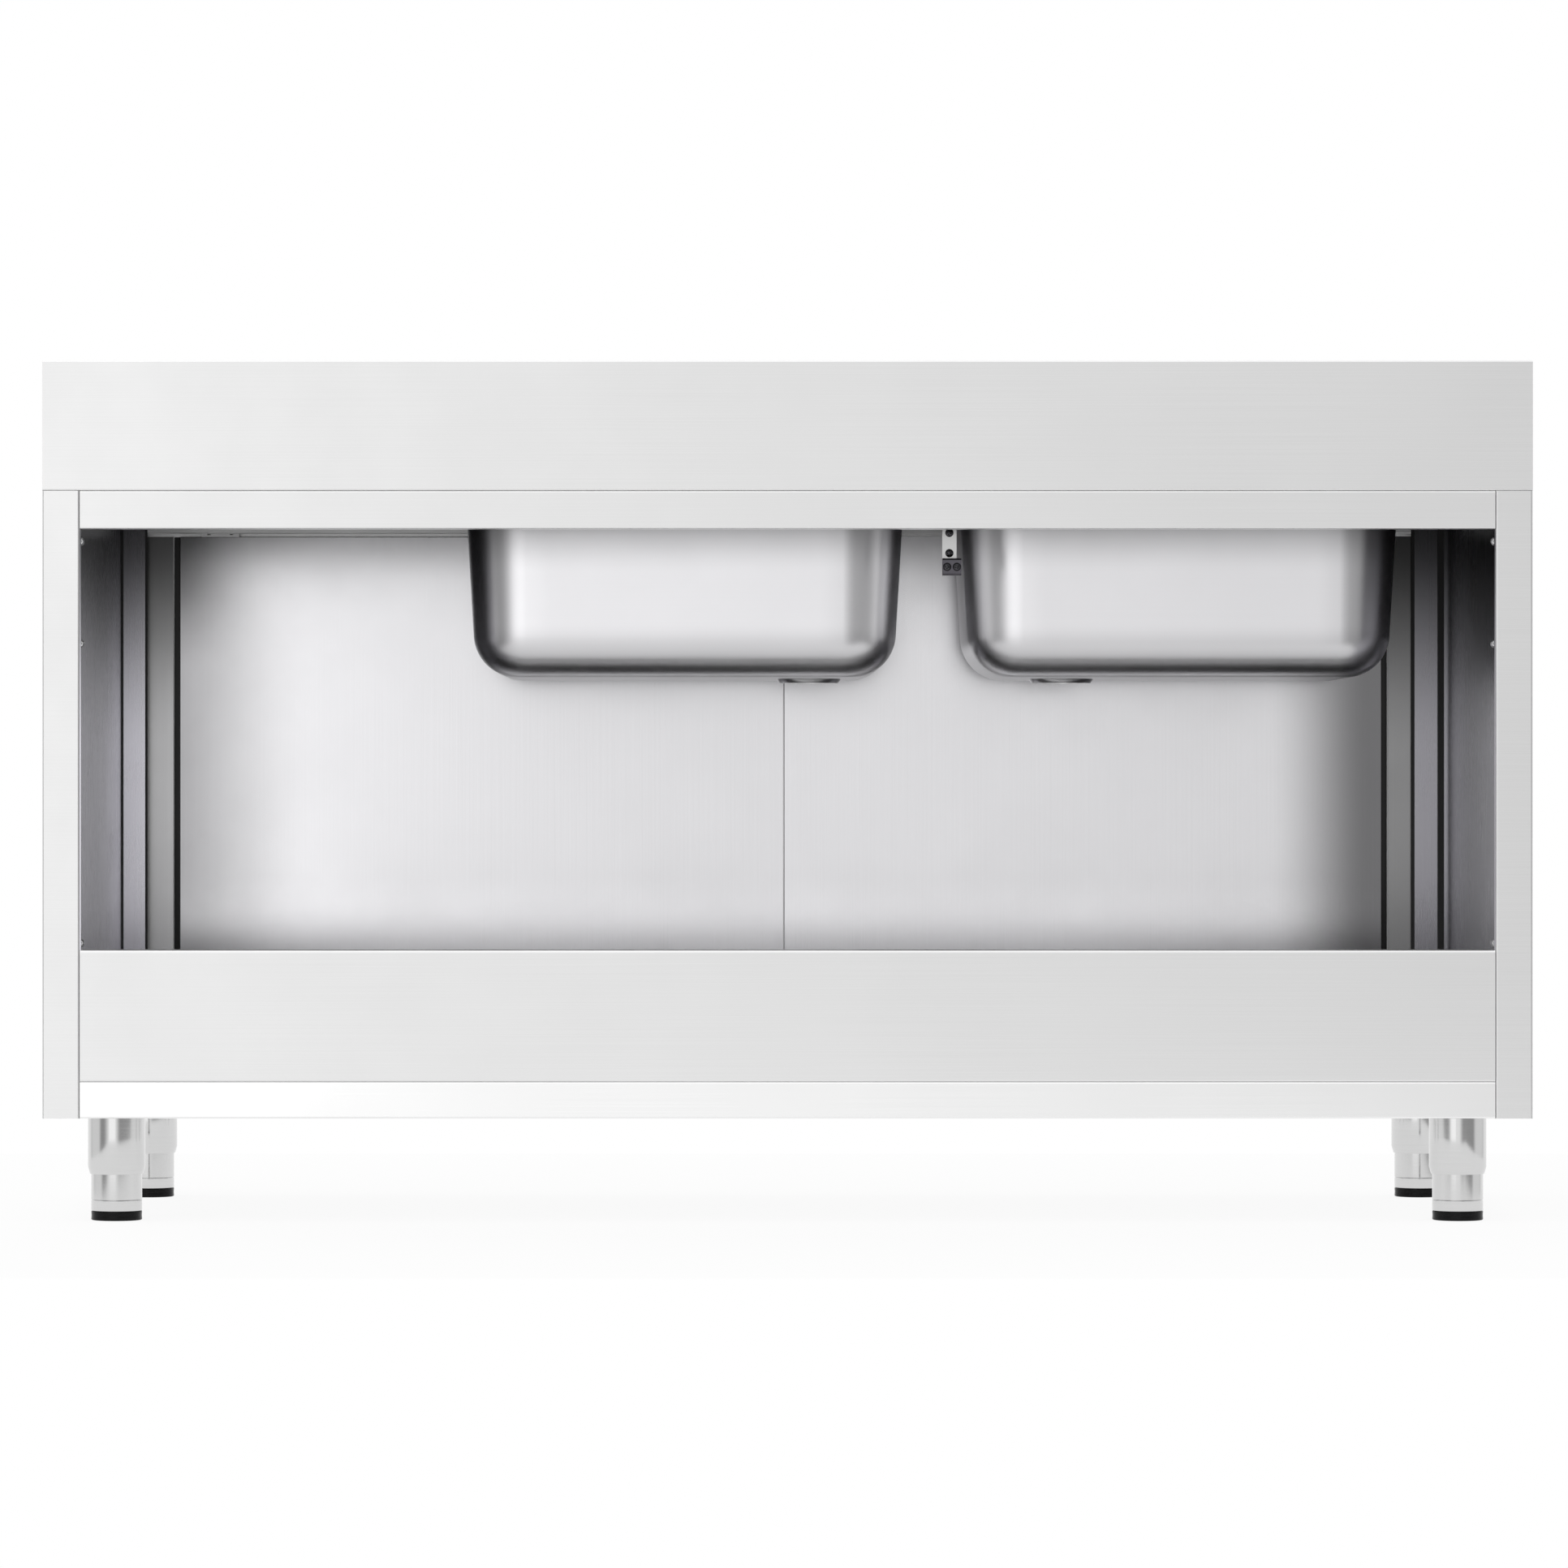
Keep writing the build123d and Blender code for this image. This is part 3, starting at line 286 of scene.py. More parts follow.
@dataclass(frozen=True)
class EdgeShadePaintedSteel(SatinSteel):
    """Satin steel with painted shade along one upright edge and its top, and painted light low down.
    """

    line_depth: float = FINE_LINES
    tint: Vec = FAINTLY_COOL
    # Painted shade along the edge and its top corner; painted light low down.
    edge_share: float = 0.55
    edge_places: Pair = (0.54, 0.70)
    low_painted_light_gain: float = 1.28
    low_levels: Pair = (0.37, 0.29)
    corner_share: float = 0.32
    corner_levels: Pair = (0.60, 0.72)

    def tone_at(self, board: Board) -> Any:
        """The tone, times what the edge's and corner's painted shade keep and the low painted light
        gains.

        The edge's share eases in along X. The corner's is that share cubed, times how far
        the height has come up the corner's levels.

        Args:
            board: The material's board.

        Returns:
            The tone.
        """
        edge = board.along("X").between(*self.edge_places)
        level = board.along("Z")
        low = level.between(*self.low_levels) * (self.low_painted_light_gain - 1.0) + 1.0
        corner = edge * edge * edge * level.between(*self.corner_levels)
        kept = (1.0 - edge * (1.0 - self.edge_share)) * (1.0 - corner * (1.0 - self.corner_share))
        return kept * low * self.tone


@dataclass(frozen=True)
class DoorSteel(ShadePaintedSteel):
    """A door's face: satin outside, darker with painted shade on the strips that look into the
    cupboard.
    """

    # Painted shade: the inner face's lower tone, and the groove's near-black shadow.
    inner_tone: float = 0.66
    groove_shadow_tone: float = 0.03
    inner_face: float = -0.2610
    groove: Pair = (0.6935, 0.7015)
    groove_edge: float = 0.0002
    skin_depth: float = 0.016
    face_ramp: Pair = (0.7, 0.3)
    skin_ramp: Pair = (0.3, 0.6)

    def tone_at(self, board: Board) -> Any:
        """The outside's tone, or a lower tone with painted shade on the sheet's inner face.

        The tone changes between the two reaches of the face's ramp, in millimetres short
        of the inner face. The groove beside the inner sheet is painted near-black as its
        shadow: that is where the place along X is within the groove and behind the outer skin.

        Args:
            board: The material's board.

        Returns:
            The tone.
        """
        ramp = (self.inner_face - reach * MM for reach in self.face_ramp)
        inward = board.along("Y").between(*ramp)
        inside = self.share_at(board) * self.inner_tone
        tone = (inside - self.tone) * inward + self.tone
        # Painted shadow: near-black in the groove beside the inner sheet.
        first, last = self.groove
        place, soft = board.along("X"), self.groove_edge
        within = place.between(first, first + soft) * place.between(last, last - soft)
        skin = self.inner_face - self.skin_depth
        ramp = (skin + reach * MM for reach in self.skin_ramp)
        painted_groove_shadow = within * board.along("Y").between(*ramp)
        return (self.groove_shadow_tone - tone) * painted_groove_shadow + tone


@dataclass(frozen=True)
class BowlShadePaintedSteel(SatinSteel):
    """Deep drawn steel with painted shade in a low band, a high band and at the corners."""

    line_depth: float = FAINT_LINES
    cloud: float = 0.02
    streak: float = 0.02
    tint: Vec = FAINTLY_COOL
    middle: float = 0.0
    # Painted shade: the corners, a band low on the walls and a band high on the walls.
    corner_shares: Pair = (1.0, 0.8)
    corner_places: Pair = (0.176, 0.232)
    low_share: float = 0.62
    low_levels: Pair = (0.648, 0.602)
    high_share: float = 0.62
    high_levels: Pair = (0.700, 0.756)

    def tone_at(self, board: Board) -> Any:
        """The tone, times one less what the painted shade in the low band, high band and corners
        takes.

        Args:
            board: The material's board.

        Returns:
            The tone.
        """
        level = board.along("Z")
        low = 1.0 - level.between(*self.low_levels) * (1.0 - self.low_share)
        high = 1.0 - level.between(*self.high_levels) * (1.0 - self.high_share)
        across = board.along("X") - self.middle
        low_end, high_end = self.corner_shares
        # Painted shade that darkens the walls towards each corner.
        corner_shade = (0.0 - across).between(*self.corner_places) * (1.0 - low_end)
        corner_shade = across.between(*self.corner_places) * (1.0 - high_end) + corner_shade
        return (1.0 - corner_shade) * low * high * self.tone


@dataclass(frozen=True)
class PlatedMetal:
    """A plated or polished fitting: fine pitting and a tint of its plating."""

    name: str
    colour: Vec
    roughness: float
    dark_share: float = 0.86
    swing: float = 0.16
    pit_depth: float = 0.00002

    def build(self) -> Material:
        """Makes the material, whose colour and roughness follow the same dull patches.

        Returns:
            The finished material.
        """
        board = Board(self.name)
        pits = board.noise(board.place(), scale=900.0, detail=3.0, rough=0.6)
        dull = board.noise(board.place(), scale=120.0, detail=3.0, rough=0.6)
        dark = tuple(self.dark_share * part for part in self.colour)
        return board.surface({
            "Base Color": board.shade(dull.between(0.25, 0.75), dark, self.colour),
            "Metallic": 1.0,
            "Roughness": self.roughness + (dull - 0.5) * self.swing,
            "Normal": board.bump(pits, self.pit_depth),
        })


@dataclass(frozen=True)
class MouldedPlastic:
    """Moulded plastic: a fine moulded texture with rubbed patches."""

    name: str
    colour: Vec
    roughness: float
    texture: float
    shine: float = 0.5
    dark_share: float = 0.9
    light_gain: float = 1.08
    light_lift: float = 0.004
    swing: float = 0.12

    def build(self) -> Material:
        """Makes the material, whose colour and roughness follow the same rubbed patches.

        Returns:
            The finished material.
        """
        board = Board(self.name)
        fine = board.noise(board.place(), scale=1600.0, detail=2.0, rough=0.5)
        rubbed = board.noise(board.place(), scale=60.0, detail=4.0, rough=0.6)
        dark = tuple(self.dark_share * part for part in self.colour)
        light = tuple(min(1.0, self.light_gain * part + self.light_lift) for part in self.colour)
        return board.surface({
            "Base Color": board.shade(rubbed, dark, light),
            "Roughness": self.roughness + (rubbed - 0.5) * self.swing,
            "Specular IOR Level": self.shine,
            "Normal": board.bump(fine, self.texture),
        })


# ---- Surfaces ----
def stood(name: str, data: Any) -> bpy.types.Object:
    """Makes an object of a mesh, a lamp or a camera in the scene."""
    bpy.context.scene.collection.objects.link(made := bpy.data.objects.new(name, data))
    return made


@dataclass
class Piece:
    """A new piece of sheet, bar or moulding: rings of points joined into one smooth skin."""

    name: str
    body: str
    slot: str
    material: Material
    crease: float = 32.0
    lining: Material | None = None
    shells: list[np.ndarray] = field(default_factory=list)
    lined_from: list[int] = field(default_factory=list)

    def add_shell(self, rings: np.ndarray, lined_from: int = UNLINED) -> None:
        """Adds a closed shell.

        The last ring joins the first, and the last station joins the first. Its volume is
        the sum, over its quads, of the corner's dot product with the diagonals' cross
        product over six; where that comes out negative, the stations run the other way.

        Args:
            rings: The points in metres, as rings by stations by three.
            lined_from: The ring from which the faces take the lining's finish.
        """
        ahead, beside = np.roll(rings, -1, axis=0), np.roll(rings, -1, axis=1)
        across = np.cross(np.roll(ahead, -1, axis=1) - rings, ahead - beside)
        middle = rings + ahead + beside + np.roll(ahead, -1, axis=1)
        volume = float(np.sum(middle * across)) / 24.0
        self.shells.append(rings if volume > 0.0 else rings[:, ::-1])
        self.lined_from.append(lined_from)

    def finish(self, *nodes: str) -> None:
        """Joins the shells into one mesh that stands for its CAD nodes.

        Each quad runs from a station to the next station and on to the next ring. Points
        that lie together are welded, which closes the poles.

        Args:
            nodes: The CAD nodes that the piece stands for.
        """
        points, quads, lined, first = [], [], [], 0
        for rings, start in zip(self.shells, self.lined_from):
            count, around = rings.shape[:2]
            row = (np.arange(count) * around)[:, None]
            above = np.roll(row, -1, axis=0)
            column = np.arange(around)[None, :]
            beside = np.roll(column, -1, axis=1)
            corners = (row + column, row + beside, above + beside, above + column)
            quads.append(np.stack(corners, axis=-1).reshape(-1, 4) + first)
            points.append(rings.reshape(-1, 3))
            lined.append(np.repeat(np.arange(count) >= start, around).astype(np.int32))
            first += count * around
        mesh = bpy.data.meshes.new(self.name)
        mesh.from_pydata(np.concatenate(points).tolist(), [], np.concatenate(quads).tolist())
        mesh.materials.append(self.material)
        if self.lining:
            mesh.materials.append(self.lining)
            mesh.polygons.foreach_set("material_index", np.concatenate(lined))
        work = bmesh.new()
        work.from_mesh(mesh)
        bmesh.ops.remove_doubles(work, verts=work.verts, dist=WELD_REACH)
        bmesh.ops.dissolve_degenerate(work, edges=work.edges, dist=WELD_REACH)
        loose = [edge for edge in work.edges if not edge.link_faces]
        bmesh.ops.delete(work, geom=loose, context="EDGES")
        work.to_mesh(mesh)
        work.free()
        mesh.polygons.foreach_set("use_smooth", [True] * len(mesh.polygons))
        mesh.set_sharp_from_angle(angle=math.radians(self.crease))
        made = stood(self.name, mesh)
        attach(made, self.body)
        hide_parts(*nodes)
        LOG.info("built %s with %d faces for %s", self.name, len(mesh.polygons), ", ".join(nodes))


def arc(centre: Pair, radius: float, start: float, end: float, steps: int) -> np.ndarray:
    """An arc: the centre plus the radius times the cosine and sine of even steps in degrees."""
    turn = np.radians(np.linspace(start, end, steps))
    return np.stack([centre[0] + radius * np.cos(turn), centre[1] + radius * np.sin(turn)], axis=-1)


def run(*points: Pair) -> np.ndarray:
    """The points of a straight-sided outline as an array."""
    return np.array(points, dtype=float)


def spun(radius: np.ndarray, level: np.ndarray, turn: np.ndarray) -> np.ndarray:
    """Rings of points: the radius times the cosine and sine of the turn, at the level."""
    flat = (radius * np.cos(turn), radius * np.sin(turn))
    return np.stack(np.broadcast_arrays(*flat, level), axis=-1)


def turned(outline: np.ndarray, stations: int) -> np.ndarray:
    """An outline of radius and height turned about an upright line, in even steps."""
    turn = np.linspace(0.0, FULL_TURN, stations, endpoint=False)
    return spun(outline[:, 0, None], outline[:, 1, None], turn)


def lifted(flat: np.ndarray, levels: np.ndarray) -> np.ndarray:
    """Flat rings, each set at its own level."""
    height = np.broadcast_to(levels[:, None, None], (*flat.shape[:2], 1))
    return np.concatenate([flat, height], axis=-1)


# ---- Bowls ----
@dataclass
class PressedBowl:
    """A pressed bowl: sloping walls, a rounded floor, a sunk outlet and a lapped rim."""

    side: str
    centre: float
    waste: float
    length: float = 484.0
    width: float = 400.0
    corner: float = 70.0
    rim: float = 820.0
    sheet: float = 1.0
    draft: float = 3.3
    floor_radius: float = 48.0
    rim_radius: float = 5.0
    rim_lap: float = 8.0
    floor: float = 588.0
    outlet_hole: float = 26.0
    outlet_radii: Pair = (35.5, 33.4)
    outlet_drop: float = 4.5
    outlet_lead: float = 3.0
    outlet_soft: float = 0.8
    outlet_lap: float = 1.6
    straight_turn: float = 25.0
    arc_steps: int = 14
    straight_steps: int = 7
    fillet_steps: int = 22
    mouth_steps: int = 9
    floor_steps: int = 9

    def stations(self) -> tuple[np.ndarray, np.ndarray, np.ndarray]:
        """The corner signs, the corner directions and the circle directions round a ring.

        A quarter has a straight half side, a corner arc and another straight half side.
        On a straight the sign along it grows from 0 to 1. On a circle each straight takes
        a set part of the quarter turn and the arc takes the rest. The other quarters are
        the first one turned by 90, 180 and 270 degrees.

        Returns:
            Three arrays, stations by two.
        """
        grow = np.linspace(0.0, 1.0, self.straight_steps, endpoint=False)
        bend = np.linspace(0.0, 1.0, self.arc_steps)
        fall = grow[1:][::-1]
        one = np.ones_like
        sign = np.concatenate([
            np.stack([one(grow), grow], axis=-1),
            np.stack([one(bend), one(bend)], axis=-1),
            np.stack([fall, one(fall)], axis=-1),
        ])
        corner = np.concatenate([0.0 * grow, bend * 90.0, 0.0 * fall + 90.0])
        part = self.straight_turn
        middle = part + bend * (90.0 - 2.0 * part)
        circle = np.concatenate([grow * part, middle, 90.0 - part * fall])
        spin = np.arange(4)[:, None] * 90.0
        corner, circle = (spin + corner).ravel(), (spin + circle).ravel()
        turns = np.radians(spin.ravel())
        matrix = np.array([[np.cos(turns), -np.sin(turns)], [np.sin(turns), np.cos(turns)]])
        signs = np.einsum("abq,nb->qna", matrix, sign).reshape(-1, 2)
        return signs, self.direction(corner), self.direction(circle)

    @staticmethod
    def direction(angle: np.ndarray) -> np.ndarray:
        """The cosine and sine of angles in degrees."""
        return np.stack([np.cos(np.radians(angle)), np.sin(np.radians(angle))], axis=-1)

    def side_profile(self, inner: bool) -> np.ndarray:
        """One face of the sheet from the floor's outline up to the rim's edge.

        The floor fillet is an arc that starts level and ends on the wall's slope, and the
        mouth fillet is an arc from the wall's slope to level. The inner face's radii are
        smaller by the sheet at the floor and at the mouth.

        Args:
            inner: True for the face inside the bowl.

        Returns:
            Pairs of inward offset from the outer mouth outline and height.
        """
        step = self.sheet if inner else 0.0
        draft = math.radians(self.draft)
        radius, lip = self.floor_radius - step, self.rim_radius - step
        low, top = self.floor + step + radius, self.rim - self.sheet + step
        reach = (top - low) * math.tan(draft) + step + radius / math.cos(draft)
        fillet = arc((reach, low), radius, 270.0, 180.0 + self.draft, self.fillet_steps)
        mouth = arc((step - lip, top - lip), lip, 0.0, 90.0, self.mouth_steps)
        return np.concatenate([fillet, mouth, run((-self.rim_lap, top))])

    def rectangle_rings(
        self, profile: np.ndarray, signs: np.ndarray, ways: np.ndarray
    ) -> np.ndarray:
        """Rounded rectangles, one for each point of a profile.

        A point is the corner's sign times the half side less the corner radius, plus the
        corner radius times the station's direction, all less the profile's offset.

        Args:
            profile: Pairs of offset and height.
            signs: The stations' corner signs.
            ways: The stations' corner directions.

        Returns:
            Rings by stations by three, in millimetres.
        """
        radius = self.corner - profile[:, 0, None]
        straight = np.array([self.length, self.width]) / 2.0 - self.corner
        flat = signs[None] * straight + ways[None] * radius[..., None]
        return lifted(flat, profile[:, 1]) + np.array([self.centre, 0.0, 0.0])

    def outlet_rings(self, inner: bool, ways: np.ndarray) -> np.ndarray:
        """The sunk outlet's circles, from the hole out to the floor.

        Args:
            inner: True for the face inside the bowl.
            ways: The stations' circle directions.

        Returns:
            Rings by stations by three, in millimetres.
        """
        step = self.sheet if inner else 0.0
        upper, lower = (radius - step for radius in self.outlet_radii)
        floor = self.floor + step
        low, soft = floor - self.outlet_drop, self.outlet_soft
        profile = np.concatenate([
            run((self.outlet_hole, low), (lower - self.outlet_lead, low)),
            run((lower - soft, low + 0.02), (lower, low + soft)),
            run((upper, floor - soft), (upper + soft * 0.4, floor - 0.1)),
            run((upper + self.outlet_lap, floor)),
        ])
        flat = ways[None] * profile[:, 0, None, None]
        return lifted(flat, profile[:, 1]) + np.array([self.waste, 0.0, 0.0])

    def face_rings(self, inner: bool) -> np.ndarray:
        """One whole face of the sheet, from the hole to the rim's edge.

        Between the outlet's last circle and the floor's outline, a ring is the weighted
        mean of the two.

        Args:
            inner: True for the face inside the bowl.

        Returns:
            Rings by stations by three, in millimetres.
        """
        signs, corners, circles = self.stations()
        outlet = self.outlet_rings(inner, circles)
        walls = self.rectangle_rings(self.side_profile(inner), signs, corners)
        share = np.linspace(0.0, 1.0, self.floor_steps)[1:-1, None, None]
        floor = outlet[-1] + share * (walls[0] - outlet[-1])
        return np.concatenate([outlet, floor, walls])

    def build(self, outside: Material, inside: Material) -> None:
        """Makes the bowl from its outer face up and its inner face down again.

        Args:
            outside: The finish, with painted shade, of the face that looks into the cupboard.
            inside: The polished finish of the face that holds the water.
        """
        piece = Piece(f"pressed_{self.side}_bowl", "carcass", "bowl_steel", outside, lining=inside)
        outer = self.face_rings(False)
        rings = np.concatenate([outer, self.face_rings(True)[::-1]])
        piece.add_shell(rings * MM, len(outer) - 1)
        piece.finish(f"{self.side}_bowl")


# ---- Screws ----
@dataclass
class DomeScrew:
    """A dome-headed screw with a cross recess, standing on a plane."""

    place: Vec
    axis: Vec
    head_radius: float
    head_height: float
    shank_radius: float
    grip: float
    turn: float
    crown_rows: int = 25
    crown_power: float = 0.85
    chamfer: float = 0.4
    recess_depth: float = 0.5
    slot_size: Pair = (0.56, 0.11)
    slot_fade: Pair = (0.22, 0.05)
    stations: int = 48

    def rings(self) -> np.ndarray:
        """The screw's skin.

        Radii grow from the crown to the rim, then shrink under the head to the shank and
        to its tip. The head's height is that of a sphere through the crown and the rim,
        less the recess, whose depth eases to nothing at the ends and sides of two crossed
        slots. The rows are then turned to the screw's axis.

        Returns:
            Rings by stations by three, in metres.
        """
        turn = np.linspace(0.0, FULL_TURN, self.stations, endpoint=False)
        share = np.linspace(0.0, 1.0, self.crown_rows)[:, None] ** self.crown_power
        head = self.head_radius * share
        sphere = (self.head_radius**2 + self.head_height**2) / (2.0 * self.head_height)
        dome = np.sqrt(np.maximum(sphere**2 - head**2, 0.0)) - (sphere - self.head_height)
        along, beside = np.abs(head * np.cos(turn)), np.abs(head * np.sin(turn))
        arms = np.maximum(self.slot(along, beside), self.slot(beside, along))
        shank, tip, chamfer = self.shank_radius, -self.grip, self.chamfer
        tail = run((shank, 0.0), (shank, tip + chamfer), (shank - chamfer, tip), (0.0, tip))
        tail = tail[..., None] + 0.0 * turn
        radius = np.concatenate([head + 0.0 * turn, tail[:, 0]])
        level = np.concatenate([dome - arms * self.head_height * self.recess_depth, tail[:, 1]])
        skin = spun(radius, level, turn + math.radians(self.turn))
        matrix = np.array(Vector(self.axis).to_track_quat("Z", "Y").to_matrix())
        return (skin @ matrix.T + np.array(self.place)) * MM

    def slot(self, along: np.ndarray, beside: np.ndarray) -> np.ndarray:
        """The share of the recess's depth in one slot.

        It is a soft step at the slot's half length times one at its half width. Both and
        their fades are shares of the head's radius.

        Args:
            along: The distance from the middle along the slot.
            beside: The distance across it.

        Returns:
            Shares from 0 to 1.
        """
        reach, half = (share * self.head_radius for share in self.slot_size)
        end, side = (share * self.head_radius for share in self.slot_fade)
        ends = np.clip((reach - along) / end, 0.0, 1.0)
        sides = np.clip((half - beside) / side + 0.5, 0.0, 1.0)
        return ends * sides


@dataclass(frozen=True)
class DoorGear:
    """Where a door hangs: its lane along Y and its hangers along X, in millimetres."""

    side: str
    lane: float
    inner: float
    outer: float


DOORS = (DoorGear("right", -264.75, 97.0, 648.0), DoorGear("left", -245.75, -109.0, -638.5))


@dataclass
class Fasteners:
    """Every dome screw: its kind gives its head's radius and height, its shank and its grip."""

    bright: Material
    dark: Material
    liner_kind: Kind = (4.5, 3.0, 2.0, 6.0)
    earth_kind: Kind = (4.5, 3.0, 1.5, 5.0)
    track_kind: Kind = (2.6, 1.4, 1.5, 2.5)
    hanger_kind: Kind = (2.6, 1.4, 1.5, 3.8)
    half_width: float = 760.0
    liner_depth: float = 285.0
    earth_x: float = -175.0
    earth_plate: float = 254.0
    earth_block: float = 266.0
    track_place: Pair = (-273.6, 783.5)
    track_count: int = 6
    hanger_level: float = 757.0
    hanger_spread: float = 13.0

    def build(self) -> None:
        """Makes the liners', the earth point's, the track's and the hangers' screws."""
        wall, depth = self.half_width - 1.0, self.liner_depth
        liner = [
            DomeScrew((side * wall, depth, level), (-side, 0.0, 0.0), *self.liner_kind, turn)
            for side in (1, -1)
            for level, turn in ((300.0, 0.0), (622.0, 37.0), (732.0, 74.0))
        ]
        self.join("liner_dome_screws", "carcass", "liner_screws", liner, self.bright)
        plate, block = self.earth_plate, self.earth_block
        spots = (
            (0.0, plate, 720.4, 12.0), (0.0, plate, 742.3, 64.0),
            (-7.75, block, 705.25, 31.0), (2.75, block, 705.25, 80.0),
        )
        earth = [
            DomeScrew((self.earth_x + x, y, z), (0.0, 1.0, 0.0), *self.earth_kind, turn)
            for x, y, z, turn in spots
        ]
        self.join("earth_dome_screws", "carcass", "earth_screws", earth, self.dark)
        pitch = 2.0 * self.half_width / self.track_count
        places = [pitch * (index + 0.5) - self.half_width for index in range(self.track_count)]
        track = [
            DomeScrew((x, *self.track_place), (0.0, 0.0, -1.0), *self.track_kind, 23.0 * index)
            for index, x in enumerate(places)
        ]
        self.join("track_dome_screws", "carcass", "track_screws", track, self.bright)
        level, spread = self.hanger_level, self.hanger_spread
        for door in DOORS:
            hanger = [
                DomeScrew((x, door.lane, level), (0.0, 0.0, 1.0), *self.hanger_kind, 0.2 * hung)
                for hung in (door.inner, door.outer)
                for x in (hung - spread, hung + spread)
            ]
            body = f"{door.side}_door"
            name, node = f"{door.side}_hanger_dome_screws", f"{body}_hanger_screws"
            self.join(name, body, node, hanger, self.bright)

    def join(
        self, name: str, body: str, node: str, screws: list[DomeScrew], finish: Material
    ) -> None:
        """Makes one piece of several screws.

        Args:
            name: The piece's name.
            body: The body it rides on.
            node: The CAD node that it stands for.
            screws: The screws.
            finish: Their material.
        """
        piece = Piece(name, body, "screw_steel", finish, crease=40.0)
        for screw in screws:
            piece.add_shell(screw.rings())
        piece.finish(node)


# ---- Legs ----
@dataclass
class Leg:
    """One adjustable leg: sleeve and plate, foot tube, threaded spindle and floor pad."""

    name: str
    x: float
    y: float
    steel: Material
    thread: Material
    plastic: Material
    sleeve_radius: float = 31.0
    sleeve_wall: float = 1.5
    shoulder: float = 57.0
    sleeve_bottom: float = 50.0
    mouth: float = 27.9
    plate_levels: Pair = (147.5, 150.5)
    plate_size: Pair = (66.0, 96.0)
    foot_radius: float = 27.5
    foot_wall: float = 1.2
    foot_levels: Pair = (10.3, 96.0)
    foot_floor: float = 4.0
    groove_level: float = 22.0
    groove: float = 0.7
    spigot_radius: float = 6.0
    spigot_top: float = 13.0
    pad_height: float = 10.0
    pad_edge: float = 1.5
    spindle_radius: float = 8.0
    spindle_levels: Pair = (14.3, 146.5)
    thread_pitch: float = 2.5
    thread_depth: float = 0.9
    thread_fade: float = 2.0
    end_chamfer: float = 1.5
    bead: float = 1.6
    plate_corner: float = 2.0
    edge_break: float = 0.4
    edge_share: float = 0.988
    plate_stations: int = 40
    spindle_rows: int = 331
    spindle_stations: int = 24
    stations: int = 72

    def build(self) -> None:
        """Makes the leg's four pieces."""
        self.build_sleeve()
        self.build_foot_tube()
        self.build_spindle()
        self.build_pad()

    def put(self, piece: Piece, rings: np.ndarray) -> None:
        """Adds a shell to a piece, round the leg's own line."""
        piece.add_shell((rings + np.array([self.x, self.y, 0.0])) * MM)

    def build_sleeve(self) -> None:
        """The drawn-in tube with its weld bead, and the plate that it hangs from.

        The plate's outline is a rounded rectangle: a corner's centre plus the corner
        radius times the direction of the angle, with quarter turns at each corner.
        """
        piece = Piece(f"{self.name}_drawn_sleeve", "carcass", "leg_steel", self.steel)
        radius, wall, top = self.sleeve_radius, self.sleeve_wall, self.plate_levels[0]
        bore, low = radius - wall, self.sleeve_bottom
        outline = np.concatenate([
            run((bore, top), (bore, self.shoulder), (self.mouth, low + wall), (self.mouth, low + 0.3)),
            run((self.mouth + 0.3, low), (self.mouth + 0.8, low + 0.1), (self.mouth + 1.0, low + 0.4)),
            run((radius - 0.5, self.shoulder - 1.0), (radius, self.shoulder + 1.0)),
            run((radius, 90.0), (radius, top - 3.0)),
            arc((radius + self.bead, top - 1.9), self.bead, 180.0, 90.0, 5),
            run((radius + 1.9, top)),
        ])
        self.put(piece, turned(outline, self.stations))
        count, corner, soft = self.plate_stations, self.plate_corner, self.edge_break
        angle = np.radians(np.linspace(0.0, 360.0, count, endpoint=False) + 180.0 / count)
        ways = np.stack([np.cos(angle), np.sin(angle)], axis=-1)
        half = np.array(self.plate_size) / 2.0
        share = np.array([0.0, self.edge_share, 1.0, 1.0, self.edge_share, 0.0])[:, None, None]
        under, over = self.plate_levels
        levels = np.array([under, under, under + soft, over - soft, over, over])
        flat = (np.sign(ways) * (half - corner) + ways * corner)[None] * share
        self.put(piece, lifted(flat, levels))
        piece.finish(f"{self.name}_leg_sleeve")

    def build_foot_tube(self) -> None:
        """The foot's tube: thick floor, groove line and softly broken top edge."""
        piece = Piece(f"{self.name}_turned_foot", f"{self.name}_foot", "leg_steel", self.steel)
        low, top = self.foot_levels
        radius, bore = self.foot_radius, self.foot_radius - self.foot_wall
        line, depth = self.groove_level, self.groove
        spigot = self.spigot_radius + 0.05
        outline = np.concatenate([
            run((0.0, self.spigot_top), (spigot, self.spigot_top), (spigot, low)),
            run((radius - 0.6, low), (radius - 0.17, low + 0.17), (radius, low + 0.6)),
            run((radius, line - depth), (radius - 0.5 * depth, line - 0.4 * depth)),
            run((radius - depth, line), (radius - 0.5 * depth, line + 0.4 * depth)),
            run((radius, line + depth), (radius, 60.0), (radius, top - 0.3), (radius - 0.3, top)),
            run((bore + 0.3, top), (bore, top - 0.3), (bore, low + self.foot_floor)),
            run((0.0, low + self.foot_floor)),
        ])
        self.put(piece, turned(outline, self.stations))
        piece.finish(f"{self.name}_foot_tube")

